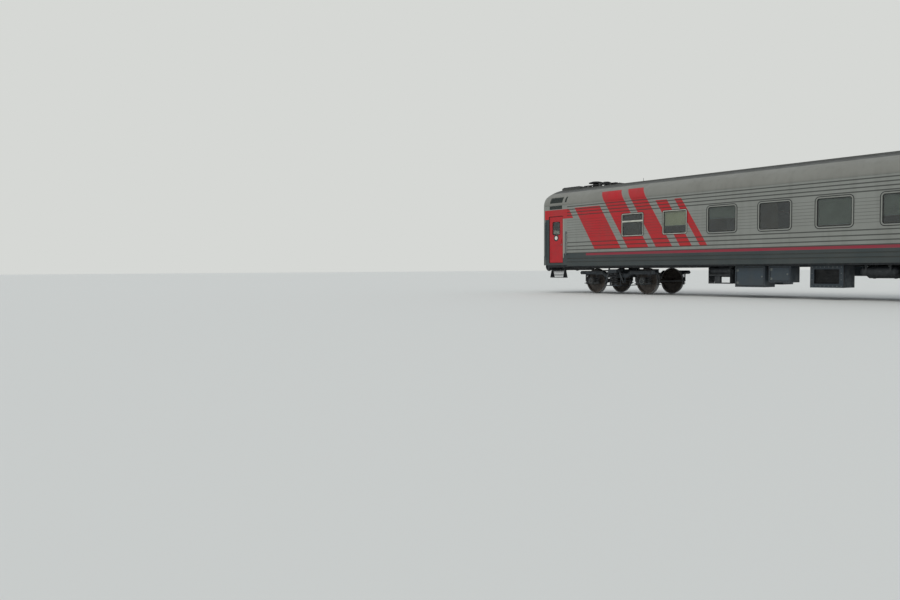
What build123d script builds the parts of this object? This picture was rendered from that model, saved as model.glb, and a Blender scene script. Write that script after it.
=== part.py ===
"""A broad-gauge sleeping coach: a ribbed body with a side corridor on two four-wheeled trucks.

X runs along the coach, with the boiler end at -X. The corridor side is at -Y and Z is up.
The origin is under the coach's middle, at the level of the wheel flanges' lowest point. Millimetres.
"""

from build123d import *
import math
import os

# The model stands on its wheel flanges, which reach this far below the rail head
flange_depth = 28.0


def up(height):
    """A height above the rail head, as a Z of the model."""
    return flange_depth + height


# Fits between pieces, and how far fused pieces and cutting tools reach past a face
fit_gap = 0.3
running_gap = 0.3
weld = 1.0
overshoot = 10.0

# Body shell
body_length = 23950.0
body_width = 3106.0
wall_thickness = 100.0
end_wall_thickness = 60.0
floor_top = up(1200.0)
floor_thickness = 60.0
skirt_drop = 60.0
porch_drop = 20.0
porch_length = 1320.0
side_height = 2380.0
roof_rise = 780.0
shoulder_radius = 480.0
roof_thickness = 90.0
gutter_height = 26.0
gutter_depth = 12.0
gutter_root = 20.0

# Grooves rolled into the side sheets: heights over the floor's top
broad_groove_heights = (45.0, 180.0, 405.0, 535.0, 680.0, 830.0, 1930.0, 2050.0, 2170.0, 2290.0)
broad_groove_width = 40.0
broad_groove_depth = 12.0
fine_groove_heights = (1040.0, 1140.0, 1240.0, 1340.0, 1440.0, 1540.0, 1640.0, 1740.0)
fine_groove_width = 16.0
fine_groove_depth = 4.0

# Ribs along the roof's middle band
roof_band_half_width = 850.0
roof_rib_count = 17
roof_rib_height = 9.0
roof_rib_width = 34.0
roof_rib_root = 10.0

# Cross ribs and tail lamps on the end walls
end_rib_rows = 5
end_rib_height = 30.0
end_rib_proud = 10.0
end_rib_inner_gap = 40.0
end_rib_outer_gap = 80.0
lamp_inset = 373.0
lamp_radius = 75.0
lamp_depth = 45.0
lamp_rim = 9.0
low_lamp_rise = 535.0
high_lamp_rise = 2300.0

# Side sills, cross-members, body bolsters and the rails that carry the equipment
sill_width = 90.0
sill_depth = 110.0
cross_member_count = 15
cross_member_width = 70.0
cross_member_depth = 70.0
inner_rail_y = 560.0
outer_rail_inset = 303.0
equipment_rail_width = 60.0
equipment_rail_depth = 50.0
body_bolster_width = 420.0
body_bolster_depth = 110.0
pivot_plate_radius = 220.0
pivot_plate_drop = 200.0
kingpin_radius = 45.0
kingpin_depth = 120.0
side_bearer_y = 760.0
side_bearer_radius = 110.0
main_pipe_radius = 21.0

# Draft sills and end beams
draft_sill_length = 1300.0
draft_sill_gap = 220.0
draft_sill_plate = 40.0
draft_sill_depth = 230.0
draft_member_inset = 120.0
end_beam_rise = 10.0
end_beam_depth = 300.0
end_beam_inset = 203.0
end_beam_thickness = 60.0

# Compartment windows, in their frames
compartment_count = 9
window_width = 1110.0
window_height = 940.0
window_rise = 1400.0
window_corner = 120.0
window_frame_width = 46.0
window_frame_proud = 6.0
window_frame_depth = 84.0
pane_thickness = 10.0
pane_setback = 26.0
least_pane_corner = 12.0
# Two plainer windows on the corridor side at the boiler end, the first with a transom bar
plain_window_count = 2
plain_window_width = 1000.0
plain_window_height = 850.0
plain_window_corner = 60.0
plain_window_frame = 30.0
transom_rise = 1530.0
transom_bar = 56.0
transom_setback = 2.0
# Windows of the service rooms and lavatories, on the far side
service_window_width = 700.0
lavatory_window_width = 460.0
lavatory_window_height = 560.0
lavatory_window_rise = 1590.0

# Side doors
door_leaf_width = 770.0
door_leaf_height = 1920.0
door_leaf_thickness = 45.0
door_sill_rise = 12.0
door_setback = 20.0
door_gap = 8.0
door_end_distance = 295.0
door_window_width = 400.0
door_window_height = 520.0
door_window_rise = 0.75 * door_leaf_height
door_window_corner = 50.0
door_panel_margin = 80.0
door_panel_foot = 120.0
door_panel_height = 583.0
door_panel_recess = 6.0
door_plate_rise = 1045.0
door_plate_radius = 95.0
door_plate_proud = 3.0
door_handle_inset = 90.0
door_handle_drop = 60.0
door_handle_length = 148.0
door_handle_standoff = 14.0
door_handle_radius = 8.0
hinge_radius = 11.0
hinge_clearance = 2.0
hinge_knuckle_height = 60.0
hinge_shares = (0.12, 0.5, 0.86)

# Air grilles over the doors at the boiler end: one in the wall, a high one and a slot on the shoulder
grille_length = 700.0
low_grille_rise = 2225.0
low_grille_height = 140.0
grille_pocket_depth = 40.0
grille_plate = 8.0
grille_recess = 2.0
low_grille_slats = 4
high_grille_slats = 7
grille_slat_share = 0.4
high_grille_angles = (12.0, 44.0)
grille_angle_gap = 0.1
slot_grille_offset = 530.0
slot_grille_width = 95.0

# End doors
end_door_width = 780.0
end_door_height = 1900.0
end_door_thickness = 40.0
end_door_outer_setback = 8.0

# Roof fittings at the boiler end, by their distance from the end of the body
curb_height = 16.0
curb_root = 5.0
# Columns: distance, cap radius, height over the crown
vent_rows = ((1500.0, 295.0, 230.0), (2055.0, 198.0, 176.0))
vent_stem_share = 0.42
vent_seat_share = 0.62
vent_foot_share = 0.525
vent_foot_heights = (14.0, 26.0)
vent_cap_height = 70.0
vent_cap_rim_share = 0.45
vent_cap_crown_share = 0.55
# Columns: first and last distance, half width, height
housing_rows = ((110.0, 1070.0, 560.0, 46.0), (2335.0, 2955.0, 260.0, 30.0))
# Columns: first and last distance, distance from the middle
pipe_rows = ((1225.0, 2895.0, -330.0), (1225.0, 2895.0, -410.0), (1225.0, 2075.0, 360.0))
pipe_radius = 20.0
pipe_seat = 64.0
pipe_seat_count = 3

# Rooms, from the end wall to the middle
vestibule_length = 1155.0
lavatory_length = 1120.0
service_room_length = 1346.5
vestibule_wall_thickness = 40.0
inner_wall_thickness = 30.0
corridor_width = 700.0
ceiling_rise = 2240.0
ceiling_thickness = 30.0
room_door_width = 620.0
room_door_height = 1900.0
berth_width = 600.0
berth_length = 1850.0
berth_height = 430.0
upper_berth_height = 1650.0
upper_berth_thickness = 90.0
table_width = 520.0
table_length = 560.0
table_height = 740.0
table_thickness = 30.0

# Entrance steps. Insets are measured inwards from the body's side.
step_half_width = 370.0
step_cheek = 12.0
step_tread_thickness = 30.0
lower_tread_drop = 600.0
upper_tread_drop = 320.0
step_toe = 60.0
lower_step_inset = 53.0
upper_step_inset = 123.0
step_back_inset = 313.0
step_slats = 4
step_slat_thickness = 15.0
step_slat_share = 0.5

# Handrails. Columns: distance from the coach's end, lowest and highest height over the floor.
handrail_rows = ((105.0, 160.0, 1700.0), (1275.0, 330.0, 1300.0))
handrail_radius = 16.0
handrail_standoff = 48.0
handrail_foot = 60.0
handrail_stud_radius = 13.0

# Rubber gangways and the bridge plates under them
bellows_half_width = 640.0
bellows_rise = 30.0
bellows_height = 2100.0
bellows_band = 200.0
bellows_depth = 240.0
bellows_corner = 260.0
bellows_edge = 60.0
bellows_flange_depth = 55.0
bellows_flange_band = 150.0
bridge_plate_width = 900.0
bridge_plate_thickness = 12.0
bridge_plate_length = 235.0
bridge_bracket_inner = 220.0
bridge_bracket_outer = 400.0
bridge_bracket_depth = 40.0
bridge_bracket_height = 55.0

# Buffers and couplers
coupler_overhang = 293.5
coupler_drop = 80.0
coupler_clearance = 18.0
buffer_spacing = 1780.0
buffer_rise = 20.0
buffer_proud = 65.0
buffer_base_radius = 170.0
buffer_base_thickness = 22.0
buffer_barrel_radius = 105.0
buffer_barrel_length = 190.0
buffer_plunger_radius = 80.0
buffer_head_radius = 200.0
buffer_head_thickness = 26.0
buffer_head_edge = 8.0
buffer_flat_share = 0.7
# Coupler head seen from above: x out from the coupling line, y to the left when looking outward.
# The small tooth is at +y and the large one at -y.
coupler_outline = (
    (-265, 62), (-200, 150), (-60, 188), (35, 188), (62, 125), (8, 98), (-78, 62), (-92, -22), (-40, -62),
    (112, -78), (168, -112), (150, -196), (-40, -252), (-185, -215), (-265, -62),
)
coupler_head_half_height = 130.0
coupler_neck = 260.0
coupler_shank_half_width = 62.0
coupler_shank_half_height = 72.0
coupler_lock_back = 100.0
coupler_lock_depth = 75.0
coupler_lock_left = 40.0
coupler_lock_right = 20.0
coupler_lock_half_height = 80.0
draft_gear_inset = 1075.0
draft_gear_length = 520.0
draft_gear_margin = 20.0

# Equipment under the floor. Columns: first x, last x, depth from the outer face, height of the underside
# over the rail head, number of doors.
cabinet_inset = 213.0
near_cabinet_rows = (
    (-3300.0, -2260.0, 640.0, 330.0, 1),
    (-2130.0, -1410.0, 580.0, 490.0, 1),
    (1760.0, 4560.0, 700.0, 400.0, 4),
)
far_cabinet_rows = (
    (-3900.0, -2700.0, 700.0, 380.0, 2),
    (-700.0, 900.0, 640.0, 680.0, 2),
    (2100.0, 4300.0, 700.0, 400.0, 3),
)
cabinet_door_margin = 45.0
cabinet_door_recess = 14.0
cooler_x0, cooler_x1 = -790.0, 200.0
cooler_bottom = up(345.0)
cooler_depth = 740.0
cooler_margin = 120.0
cooler_mouth_depth = 90.0
cooler_fins = 10
cooler_fin_share = 0.3
# Columns: first x, last x, distance in from the cabinets' face, height over the rail head, radius
tank_rows = (
    (620.0, 1640.0, 210.0, 840.0, 130.0),
    (620.0, 1640.0, 570.0, 800.0, 170.0),
)
tank_dish_share = 0.5
tank_neck_share = 0.6
strap_width = 50.0
strap_thickness = 12.0

# Brake equipment beside the boiler end's truck: two hanger plates carry a cylinder, a reservoir and two rails
brake_rack_x0, brake_rack_x1 = -4300.0, -3480.0
brake_rack_bottom = up(430.0)
brake_rack_depth = 640.0
brake_plate_thickness = 14.0
brake_rail = 40.0
brake_rail_heights = (430.0, 700.0)
# Columns: distance in from the cabinets' face, height over the rail head, radius, overhang of both ends
brake_drum_rows = ((190.0, 860.0, 125.0, 40.0), (470.0, 800.0, 150.0, 70.0))
brake_drum_neck_share = 0.45
brake_valve_x0, brake_valve_x1 = -4060.0, -3860.0
brake_valve_height = 210.0
brake_valve_depth = 110.0

# Trucks
truck_overhang = 3475.0
wheelbase = 2500.0
wheel_radius = 478.5
wheel_back_spacing = 1440.0
wheel_width = 130.0
flange_width = 33.0
flange_tip = 12.0
flange_shoulder = 8.0
tread_fall = 6.0
rim_thickness = 70.0
web_centre = 62.0
web_thickness = 26.0
web_dish = 14.0
hub_radius = 135.0
hub_inner_reach = 20.0
hub_outer_reach = 30.0
wheel_seat_radius = 95.0
axle_radius = 82.0
journal_radius = 65.0
journal_spacing = 2036.0
journal_length = 190.0
journal_shoulder = 8.0

# Truck frame, in the truck's own place: x from its middle, heights as Z of the model
sill_half_width = 90.0
truck_half_length = 1850.0
truck_nose = 60.0
sill_top = up(880.0)
sill_low_top = up(770.0)
sill_bottom = up(740.0)
sill_low_bottom = up(610.0)
sill_dip = 560.0
sill_slope = 130.0
transom_inner, transom_outer = 240.0, 400.0
transom_bottom, transom_top = up(620.0), up(765.0)
bolster_half_width = 200.0
bolster_reach = 1340.0
bolster_shoulder = 880.0
bolster_slope = 100.0
bolster_end_bottom = up(800.0)
bolster_bottom = up(690.0)
spring_plank_bottom = up(290.0)
spring_plank_top = up(325.0)
plank_half_length = 290.0
plank_inner_reach = 25.0
plank_tie_half_width = 60.0
plank_tie_step = 5.0
link_x, link_y, link_radius = 255.0, 1140.0, 15.0
link_top = up(670.0)
bracket_half = 24.0
bracket_bottom, bracket_top = up(650.0), up(720.0)

# Springs and hydraulic dampers
body_spring_x, body_spring_y = 100.0, 1235.0
body_spring_radius = 88.0
box_spring_offset = 265.0
box_spring_radius = 80.0
spring_pitch = 100.0
spring_wire = 30.0
damper_foot_x, damper_foot_z = 430.0, up(430.0)
damper_head_x, damper_head_z = 236.0, up(870.0)
damper_y = 1205.0
damper_eye_radius = 30.0
damper_eye_half_width = 18.0
damper_pin_radius = 14.0
damper_rod_radius = 16.0
damper_tube_radius = 27.0
damper_cover_radius = 33.0
# Where the tube starts, the cover starts and the cover ends, as shares of the way from foot to head
damper_body_shares = (0.13, 0.45, 0.87)
lug_thickness = 22.0
lug_reach = 26.0
damper_leg_width = 20.0

# Axle boxes
box_radius = 148.0
box_inner, box_outer = 905.0, 1128.0
cover_radius = 112.0
cover_outer = 1152.0
wing_half_length = 365.0
wing_width = 170.0
wing_seat = up(402.0)
wing_bottom = up(368.0)
wing_root = 170.0
wing_root_rise = 30.0

# Brakes on the trucks
brake_gap = 6.5
brake_thickness = 45.0
brake_inner, brake_outer = 762.0, 842.0
brake_angle = 16.0
brake_hanger_x = 545.0
brake_back_reach = 25.0
brake_beam_inset = 20.0
hanger_radius = 18.0
hanger_top = up(790.0)
hanger_pin_start = 10.0
brake_beam_half_height = 22.0

# Places worked out from the sizes above
half_length = body_length / 2
half_width = body_width / 2
shell_end = half_length - end_wall_thickness
inner_half = half_width - wall_thickness
floor_bottom = floor_top - floor_thickness
skirt_bottom = floor_bottom - skirt_drop
porch_bottom = floor_bottom - porch_drop
shoulder_start = floor_top + side_height
roof_top = shoulder_start + roof_rise
curb_top = roof_top + curb_height
ceiling_bottom = floor_top + ceiling_rise
door_leaf_bottom = floor_top + door_sill_rise
door_window_middle = floor_top + door_window_rise
door_plate_height = floor_top + door_plate_rise
window_middle = floor_top + window_rise
low_grille_bottom = floor_top + low_grille_rise
end_beam_top = floor_top + end_beam_rise
end_beam_bottom = end_beam_top - end_beam_depth
end_beam_half_width = half_width - end_beam_inset
floor_end = shell_end - end_beam_thickness
bellows_bottom = floor_top + bellows_rise
bellows_top = bellows_bottom + bellows_height
coupler_height = floor_bottom - coupler_drop
coupler_line = half_length + coupler_overhang
buffer_height = coupler_height + buffer_rise
pivot_plate_bottom = floor_bottom - pivot_plate_drop
equipment_top = floor_bottom - cross_member_depth - equipment_rail_depth
cabinet_face = half_width - cabinet_inset
outer_rail_y = half_width - outer_rail_inset
truck_x = half_length - truck_overhang
axle_height = up(wheel_radius)
sill_y = journal_spacing / 2
sill_face = sill_y + sill_half_width
sill_inner_face = sill_y - sill_half_width
journal_end = sill_y + journal_length / 2
box_middle = (box_inner + box_outer) / 2

# The crown's arc meets the shoulders' arcs without a corner
shoulder_centre_y = half_width - shoulder_radius
crown_rise = roof_rise - shoulder_radius
crown_radius = (shoulder_centre_y**2 + roof_rise**2 - shoulder_radius**2) / (2 * crown_rise)
crown_centre = roof_top - crown_radius

# Cross walls: vestibules, lavatories, service rooms, and compartments of one length between them
vestibule_wall_x = shell_end - vestibule_length
lavatory_wall_x = vestibule_wall_x - lavatory_length
rooms_end = lavatory_wall_x - service_room_length
compartment_pitch = 2 * rooms_end / compartment_count
corridor_wall_y = corridor_width - inner_half

os.makedirs("parts", exist_ok=True)


def save(name, *solids):
    """Writes one sub-part, which may be several solids."""
    found = [s for part in solids for s in part.solids()]
    export_step(Compound(found), f"parts/{name}.step")


def block(x0, x1, y0, y1, z0, z1):
    """A box between two corners."""
    low = (min(x0, x1), min(y0, y1), min(z0, z1))
    size = (abs(x1 - x0), abs(y1 - y0), abs(z1 - z0))
    return Pos(*low) * Box(*size, align=(Align.MIN,) * 3)


def rod(start, end, radius):
    """A round bar between two points."""
    a, b = Vector(*start), Vector(*end)
    return Plane(origin=a, z_dir=b - a) * extrude(Circle(radius), (b - a).length)


def fuse(parts):
    """One solid from pieces that meet."""
    first, *rest = parts
    return first.fuse(*rest).clean() if rest else first


def rounded_prism(x, z, width, height, corner, y0, y1):
    """A rounded rectangle in the XZ plane, from y0 to y1."""
    outline = Plane(origin=(x, min(y0, y1), z), x_dir=(1, 0, 0), z_dir=(0, 1, 0)) * RectangleRounded(
        width, height, corner
    )
    return extrude(outline, abs(y1 - y0), dir=(0, 1, 0))


def across(points):
    """A face in the YZ plane from points (y, z)."""
    return make_face(Polyline([(0, y, z) for y, z in points], close=True))


def along_x(face, x0, x1):
    """Extrudes a YZ face from x0 to x1."""
    return Pos(x0, 0, 0) * extrude(face, x1 - x0, dir=(1, 0, 0))


def side_plate(points, y0, y1):
    """A prism across the coach from points (x, z), from y0 to y1."""
    face = make_face(Polyline([(x, 0, z) for x, z in points], close=True))
    low, high = min(y0, y1), max(y0, y1)
    return Pos(0, low, 0) * extrude(face, high - low, dir=(0, 1, 0))


def turned(points, *place):
    """A solid turned about the X axis from points (x, radius), moved to a place."""
    return Pos(*place) * revolve(make_face(Polyline(*points, close=True)), Axis.X)


# Places of doors, rooms and windows


def door_x(end):
    """The middle of a side door at an end, which is -1 or +1."""
    return end * (half_length - door_end_distance - door_gap - door_leaf_width / 2)


def compartment_bounds():
    """The cross walls between the compartments, from -X to +X."""
    return [-rooms_end + k * compartment_pitch for k in range(compartment_count + 1)]


def service_room_x():
    return (rooms_end + lavatory_wall_x) / 2


def lavatory_x():
    return (lavatory_wall_x + vestibule_wall_x) / 2


def room_doors():
    """The middle of each room's doorway along X, from -X to +X."""
    bounds = compartment_bounds()
    doors = [(a + b) / 2 for a, b in zip(bounds, bounds[1:])]
    return [-lavatory_x(), -service_room_x()] + doors + [service_room_x(), lavatory_x()]


def side_windows(side):
    """Rows of (x, z, width, height, corner, frame width) for the windows of a side, -1 or +1."""
    plain = (plain_window_width, plain_window_height, plain_window_corner, plain_window_frame)
    full = (window_width, window_height, window_corner, window_frame_width)
    bounds = compartment_bounds()
    rows = []
    for k, (a, b) in enumerate(zip(bounds, bounds[1:])):
        sizes = plain if side < 0 and k < plain_window_count else full
        rows.append(((a + b) / 2, window_middle, *sizes))
    if side > 0:
        for end in (-1, 1):
            rows.append((end * service_room_x(), window_middle, service_window_width, *plain[1:]))
            rows.append((end * lavatory_x(), floor_top + lavatory_window_rise, lavatory_window_width,
                         lavatory_window_height, *plain[2:]))
    return rows


# Side walls


def hinge_axis(side, end):
    """Where a side door turns: near its jamb on the end wall's side, inside the wall's thickness."""
    room = hinge_radius + hinge_clearance
    x = door_x(end) + end * (door_leaf_width / 2 + door_gap - room)
    y = side * (half_width - door_setback - door_leaf_thickness - room)
    return x, y


def groove(side, height, width, depth):
    """Four points of a trapezoid groove in a side's outer face, going up."""
    z = floor_top + height
    return [
        (side * half_width, z - width / 2), (side * (half_width - depth), z - width / 4),
        (side * (half_width - depth), z + width / 4), (side * half_width, z + width / 2),
    ]


def make_side_wall(side):
    rows = [(h, broad_groove_width, broad_groove_depth) for h in broad_groove_heights]
    rows += [(h, fine_groove_width, fine_groove_depth) for h in fine_groove_heights]
    inner_edge = [(side * inner_half, shoulder_start), (side * inner_half, skirt_bottom)]
    outer_edge = [(side * half_width, skirt_bottom)]
    for height, width, depth in sorted(rows):
        outer_edge += groove(side, height, width, depth)
    ribbed = across(outer_edge + [(side * half_width, shoulder_start)] + inner_edge)
    porch = across([
        (side * half_width, porch_bottom), (side * half_width, shoulder_start),
        (side * inner_half, shoulder_start), (side * inner_half, porch_bottom),
    ])
    ribbed_end = half_length - porch_length
    wall = fuse([along_x(ribbed, -ribbed_end, ribbed_end), along_x(porch, -shell_end, -ribbed_end),
                 along_x(porch, ribbed_end, shell_end)])
    through = (side * (inner_half - overshoot), side * (half_width + overshoot))
    cuts = [grille_pocket(side)]
    for x, z, width, height, corner, frame in side_windows(side):
        cuts.append(rounded_prism(x, z, width + 2 * fit_gap, height + 2 * fit_gap, corner + fit_gap,
                                  *through))
    knuckles = []
    for end in (-1, 1):
        x, half = door_x(end), door_leaf_width / 2 + door_gap
        cuts.append(block(x - half, x + half, *through, door_leaf_bottom - door_gap,
                          door_leaf_bottom + door_leaf_height + door_gap))
        knuckles += door_knuckles(side, end, fixed=True)
    return fuse([wall.cut(*cuts)] + knuckles)


def door_knuckles(side, end, fixed):
    """Hinge knuckles on the wall's jamb, or those on the leaf that sit on them."""
    x, y = hinge_axis(side, end)
    found = []
    for share in hinge_shares:
        z = door_leaf_bottom + share * door_leaf_height
        low = z - hinge_knuckle_height if fixed else z + fit_gap
        high = low + hinge_knuckle_height
        barrel = rod((x, y, low), (x, y, high), hinge_radius)
        if fixed:
            jamb = door_x(end) + end * (door_leaf_width / 2 + door_gap)
            arm = block(x, jamb + end * weld, y - hinge_radius / 2, y + hinge_radius / 2, low, high)
        else:
            face = side * (half_width - door_setback - door_leaf_thickness)
            arm = block(x - end * hinge_radius, x, y, face, low, high)
        found.append(fuse([barrel, arm]))
    return found


# Air grilles


def grille_pocket(side):
    """The recess of the low grille over the door at the boiler end."""
    x = door_x(-1)
    return block(x - grille_length / 2, x + grille_length / 2, side * (half_width - grille_pocket_depth),
                 side * (half_width + overshoot), low_grille_bottom, low_grille_bottom + low_grille_height)


def shoulder_sector(side, angles, outer, inner, x0, x1):
    """A piece of the shoulder between two angles above the level, outer and inner radii, x0 to x1."""
    a0, a1 = (math.radians(a) for a in angles)
    middle = (a0 + a1) / 2

    def at(radius, angle):
        y, z = shoulder_centre_y + radius * math.cos(angle), shoulder_start + radius * math.sin(angle)
        return (0, side * y, z)

    outline = Wire([
        ThreePointArc(at(outer, a0), at(outer, middle), at(outer, a1)).edge(),
        Line(at(outer, a1), at(inner, a1)).edge(),
        ThreePointArc(at(inner, a1), at(inner, middle), at(inner, a0)).edge(),
        Line(at(inner, a0), at(outer, a0)).edge(),
    ])
    return along_x(make_face(outline), x0, x1)


def high_grille_spans():
    """First and last x of the high grille and of the slot beside it."""
    x = door_x(-1)
    slot = x + slot_grille_offset
    return ((x - grille_length / 2, x + grille_length / 2),
            (slot - slot_grille_width / 2, slot + slot_grille_width / 2))


def make_low_grille(side):
    x = door_x(-1)
    x0, x1 = x - grille_length / 2 + fit_gap, x + grille_length / 2 - fit_gap
    z0, z1 = low_grille_bottom + fit_gap, low_grille_bottom + low_grille_height - fit_gap
    back = side * (half_width - grille_pocket_depth)
    pitch = (z1 - z0) / low_grille_slats
    parts = [block(x0, x1, back, back + side * grille_plate, z0, z1)]
    for k in range(low_grille_slats):
        z = z0 + k * pitch
        parts.append(block(x0, x1, back, side * (half_width - grille_recess), z,
                           z + pitch * grille_slat_share))
    return fuse(parts)


def make_high_grille(side, x0, x1):
    low, high = high_grille_angles
    inner = shoulder_radius - grille_pocket_depth
    start, end = low + grille_angle_gap, high - grille_angle_gap
    step = (end - start) / high_grille_slats
    parts = [shoulder_sector(side, (start, end), inner + grille_plate, inner, x0 + fit_gap, x1 - fit_gap)]
    for k in range(high_grille_slats):
        span = (start + k * step, start + (k + grille_slat_share) * step)
        parts.append(shoulder_sector(side, span, shoulder_radius - grille_recess, inner, x0 + fit_gap,
                                     x1 - fit_gap))
    return fuse(parts)


def make_grilles():
    """Slatted air grilles over the doors at the boiler end."""
    found = []
    for side in (-1, 1):
        found.append(make_low_grille(side))
        found += [make_high_grille(side, *span) for span in high_grille_spans()]
    return found


# Roof


def arch(offset):
    """Three arcs over the body from +Y to -Y, moved in by an offset."""
    r, big = shoulder_radius - offset, crown_radius - offset
    turn = math.atan2(shoulder_start - crown_centre, shoulder_centre_y)
    join = (shoulder_centre_y + r * math.cos(turn), shoulder_start + r * math.sin(turn))
    bend = (shoulder_centre_y + r * math.cos(turn / 2), shoulder_start + r * math.sin(turn / 2))
    edge = half_width - offset
    return [
        ThreePointArc((0, edge, shoulder_start), (0, *bend), (0, *join)).edge(),
        ThreePointArc((0, *join), (0, 0, crown_centre + big), (0, -join[0], join[1])).edge(),
        ThreePointArc((0, -join[0], join[1]), (0, -bend[0], bend[1]), (0, -edge, shoulder_start)).edge(),
    ]


def make_roof():
    foot = half_width - roof_thickness
    loop = arch(0) + arch(roof_thickness) + [
        Line((0, -half_width, shoulder_start), (0, -foot, shoulder_start)).edge(),
        Line((0, foot, shoulder_start), (0, half_width, shoulder_start)).edge(),
    ]
    parts = [along_x(make_face(Wire(loop)), -shell_end, shell_end)]
    rib = across([(-roof_rib_width / 2, -roof_rib_root), (roof_rib_width / 2, -roof_rib_root),
                  (roof_rib_width / 4, roof_rib_height), (-roof_rib_width / 4, roof_rib_height)])
    strip = along_x(rib, -shell_end, shell_end)
    for k in range(roof_rib_count):
        y = roof_band_half_width * (2 * k / (roof_rib_count - 1) - 1)
        lean = math.asin(y / crown_radius)
        z = crown_centre + crown_radius * math.cos(lean)
        parts.append(Pos(0, y, z) * Rot(-math.degrees(lean), 0, 0) * strip)
    for side in (-1, 1):
        parts.append(block(-shell_end, shell_end, side * (half_width - gutter_root),
                           side * (half_width + gutter_depth), shoulder_start,
                           shoulder_start + gutter_height))
    for x0, x1, y0, y1 in roof_curbs():
        parts.append(block(x0, x1, y0, y1, roof_top - roof_thickness + curb_root, curb_top))
    cuts = []
    for side in (-1, 1):
        for x0, x1 in high_grille_spans():
            cuts.append(shoulder_sector(side, high_grille_angles, shoulder_radius + grille_pocket_depth,
                                        shoulder_radius - grille_pocket_depth, x0, x1))
    return fuse(parts).cut(*cuts)


def roof_curbs():
    """Flat seats on the roof for the vents, housings and pipes, as (x0, x1, y0, y1)."""
    rows = []
    for distance, radius, height in vent_rows:
        x, half = distance - half_length, radius * vent_seat_share
        rows.append((x - half, x + half, -half, half))
    for near, far, half, height in housing_rows:
        rows.append((near - half_length, far - half_length, -half, half))
    half = pipe_seat / 2
    for near, far, y in pipe_rows:
        for k in range(pipe_seat_count):
            x = near + (far - near) * (k + 0.5) / pipe_seat_count - half_length
            rows.append((x - half, x + half, y - half, y + half))
    return rows


def make_vents():
    """Mushroom vents: a stem with a broad shallow cap."""
    found = []
    for distance, radius, height in vent_rows:
        stem, top = radius * vent_stem_share, height - curb_height
        foot, crown = radius * vent_foot_share, radius * vent_cap_crown_share
        low, high = vent_foot_heights
        rim = top - vent_cap_height
        profile = Polyline(
            (0, 0), (foot, 0), (foot, low), (stem, high), (stem, rim), (radius, rim),
            (radius, rim + vent_cap_height * vent_cap_rim_share), (crown, top), (0, top), close=True,
        )
        vent = revolve(Plane.XZ * make_face(profile), Axis.Z)
        found.append(Pos(distance - half_length, 0, curb_top) * vent)
    return found


def make_roof_housings():
    """Low housings on the crown with sloped rims."""
    found = []
    for near, far, half, height in housing_rows:
        middle, length = (near + far) / 2 - half_length, far - near
        base = Pos(middle, 0, curb_top) * Rectangle(length, 2 * half)
        lid = Pos(middle, 0, curb_top + height) * Rectangle(length - 2 * height, 2 * half - 2 * height)
        found.append(loft([base, lid]))
    return found


def make_roof_pipes():
    z = curb_top + fit_gap + pipe_radius
    return [rod((near - half_length, y, z), (far - half_length, y, z), pipe_radius)
            for near, far, y in pipe_rows]


# End walls and doors


def end_face():
    """The body's cross-section in the YZ plane, down to the porch's foot."""
    return make_face(Wire(arch(0) + [
        Line((0, -half_width, shoulder_start), (0, -half_width, porch_bottom)).edge(),
        Line((0, -half_width, porch_bottom), (0, half_width, porch_bottom)).edge(),
        Line((0, half_width, porch_bottom), (0, half_width, shoulder_start)).edge(),
    ]))


def end_door_inner():
    """How far the end door's inner face lies from the coach's middle."""
    return half_length - end_door_outer_setback - end_door_thickness


def end_hinge_axis(end):
    """Where an end door turns: beside its jamb, inside the vestibule's wall."""
    room = hinge_radius + hinge_clearance
    return end * (end_door_inner() - room), -(end_door_width / 2 + door_gap - room)


def make_end_wall(end):
    wall = along_x(end_face(), end * shell_end, end * half_length)
    half = end_door_width / 2 + door_gap
    opening = block(end * (shell_end - overshoot), end * (half_length + overshoot), -half, half,
                    door_leaf_bottom - door_gap, door_leaf_bottom + end_door_height + door_gap)
    foot = block(end * (shell_end - weld), end * (half_length + weld), -end_beam_half_width,
                 end_beam_half_width, porch_bottom - weld, end_beam_top)
    rib_inner = bellows_half_width + bellows_band / 2 + end_rib_inner_gap
    parts = [wall.cut(opening, foot)]
    for side in (-1, 1):
        for k in range(end_rib_rows):
            z = porch_bottom + (shoulder_start - porch_bottom) * (k + 1) / (end_rib_rows + 1)
            parts.append(block(end * (half_length - weld), end * (half_length + end_rib_proud),
                               side * rib_inner, side * (half_width - end_rib_outer_gap),
                               z - end_rib_height / 2, z + end_rib_height / 2))
    return fuse(parts + end_knuckles(end, fixed=True))


def end_knuckles(end, fixed):
    """Knuckles of an end door, on the wall or on the leaf."""
    x, y = end_hinge_axis(end)
    found = []
    for share in hinge_shares:
        z = door_leaf_bottom + share * end_door_height
        low = z - hinge_knuckle_height if fixed else z + fit_gap
        high = low + hinge_knuckle_height
        barrel = rod((x, y, low), (x, y, high), hinge_radius)
        if fixed:
            jamb = -(end_door_width / 2 + door_gap)
            arm = block(x - hinge_radius / 2, x + hinge_radius / 2, y, jamb - weld, low, high)
        else:
            arm = block(x, end * end_door_inner(), y, y + hinge_radius, low, high)
        found.append(fuse([barrel, arm]))
    return found


def end_window(end, x, depth, shrink):
    """A rounded block through an end door's window, from x outwards, smaller all round by shrink."""
    plane = Plane(origin=(end * x, 0, door_window_middle), x_dir=(0, 1, 0), z_dir=(end, 0, 0))
    outline = RectangleRounded(door_window_width - 2 * shrink, door_window_height - 2 * shrink,
                               door_window_corner - shrink)
    return extrude(plane * outline, depth)


def make_end_door(end):
    inner = end_door_inner()
    leaf = block(end * inner, end * (inner + end_door_thickness), -end_door_width / 2, end_door_width / 2,
                 door_leaf_bottom, door_leaf_bottom + end_door_height)
    leaf = leaf.cut(end_window(end, inner - weld, end_door_thickness + 2 * weld, 0))
    return fuse([leaf] + end_knuckles(end, fixed=False))


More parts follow.
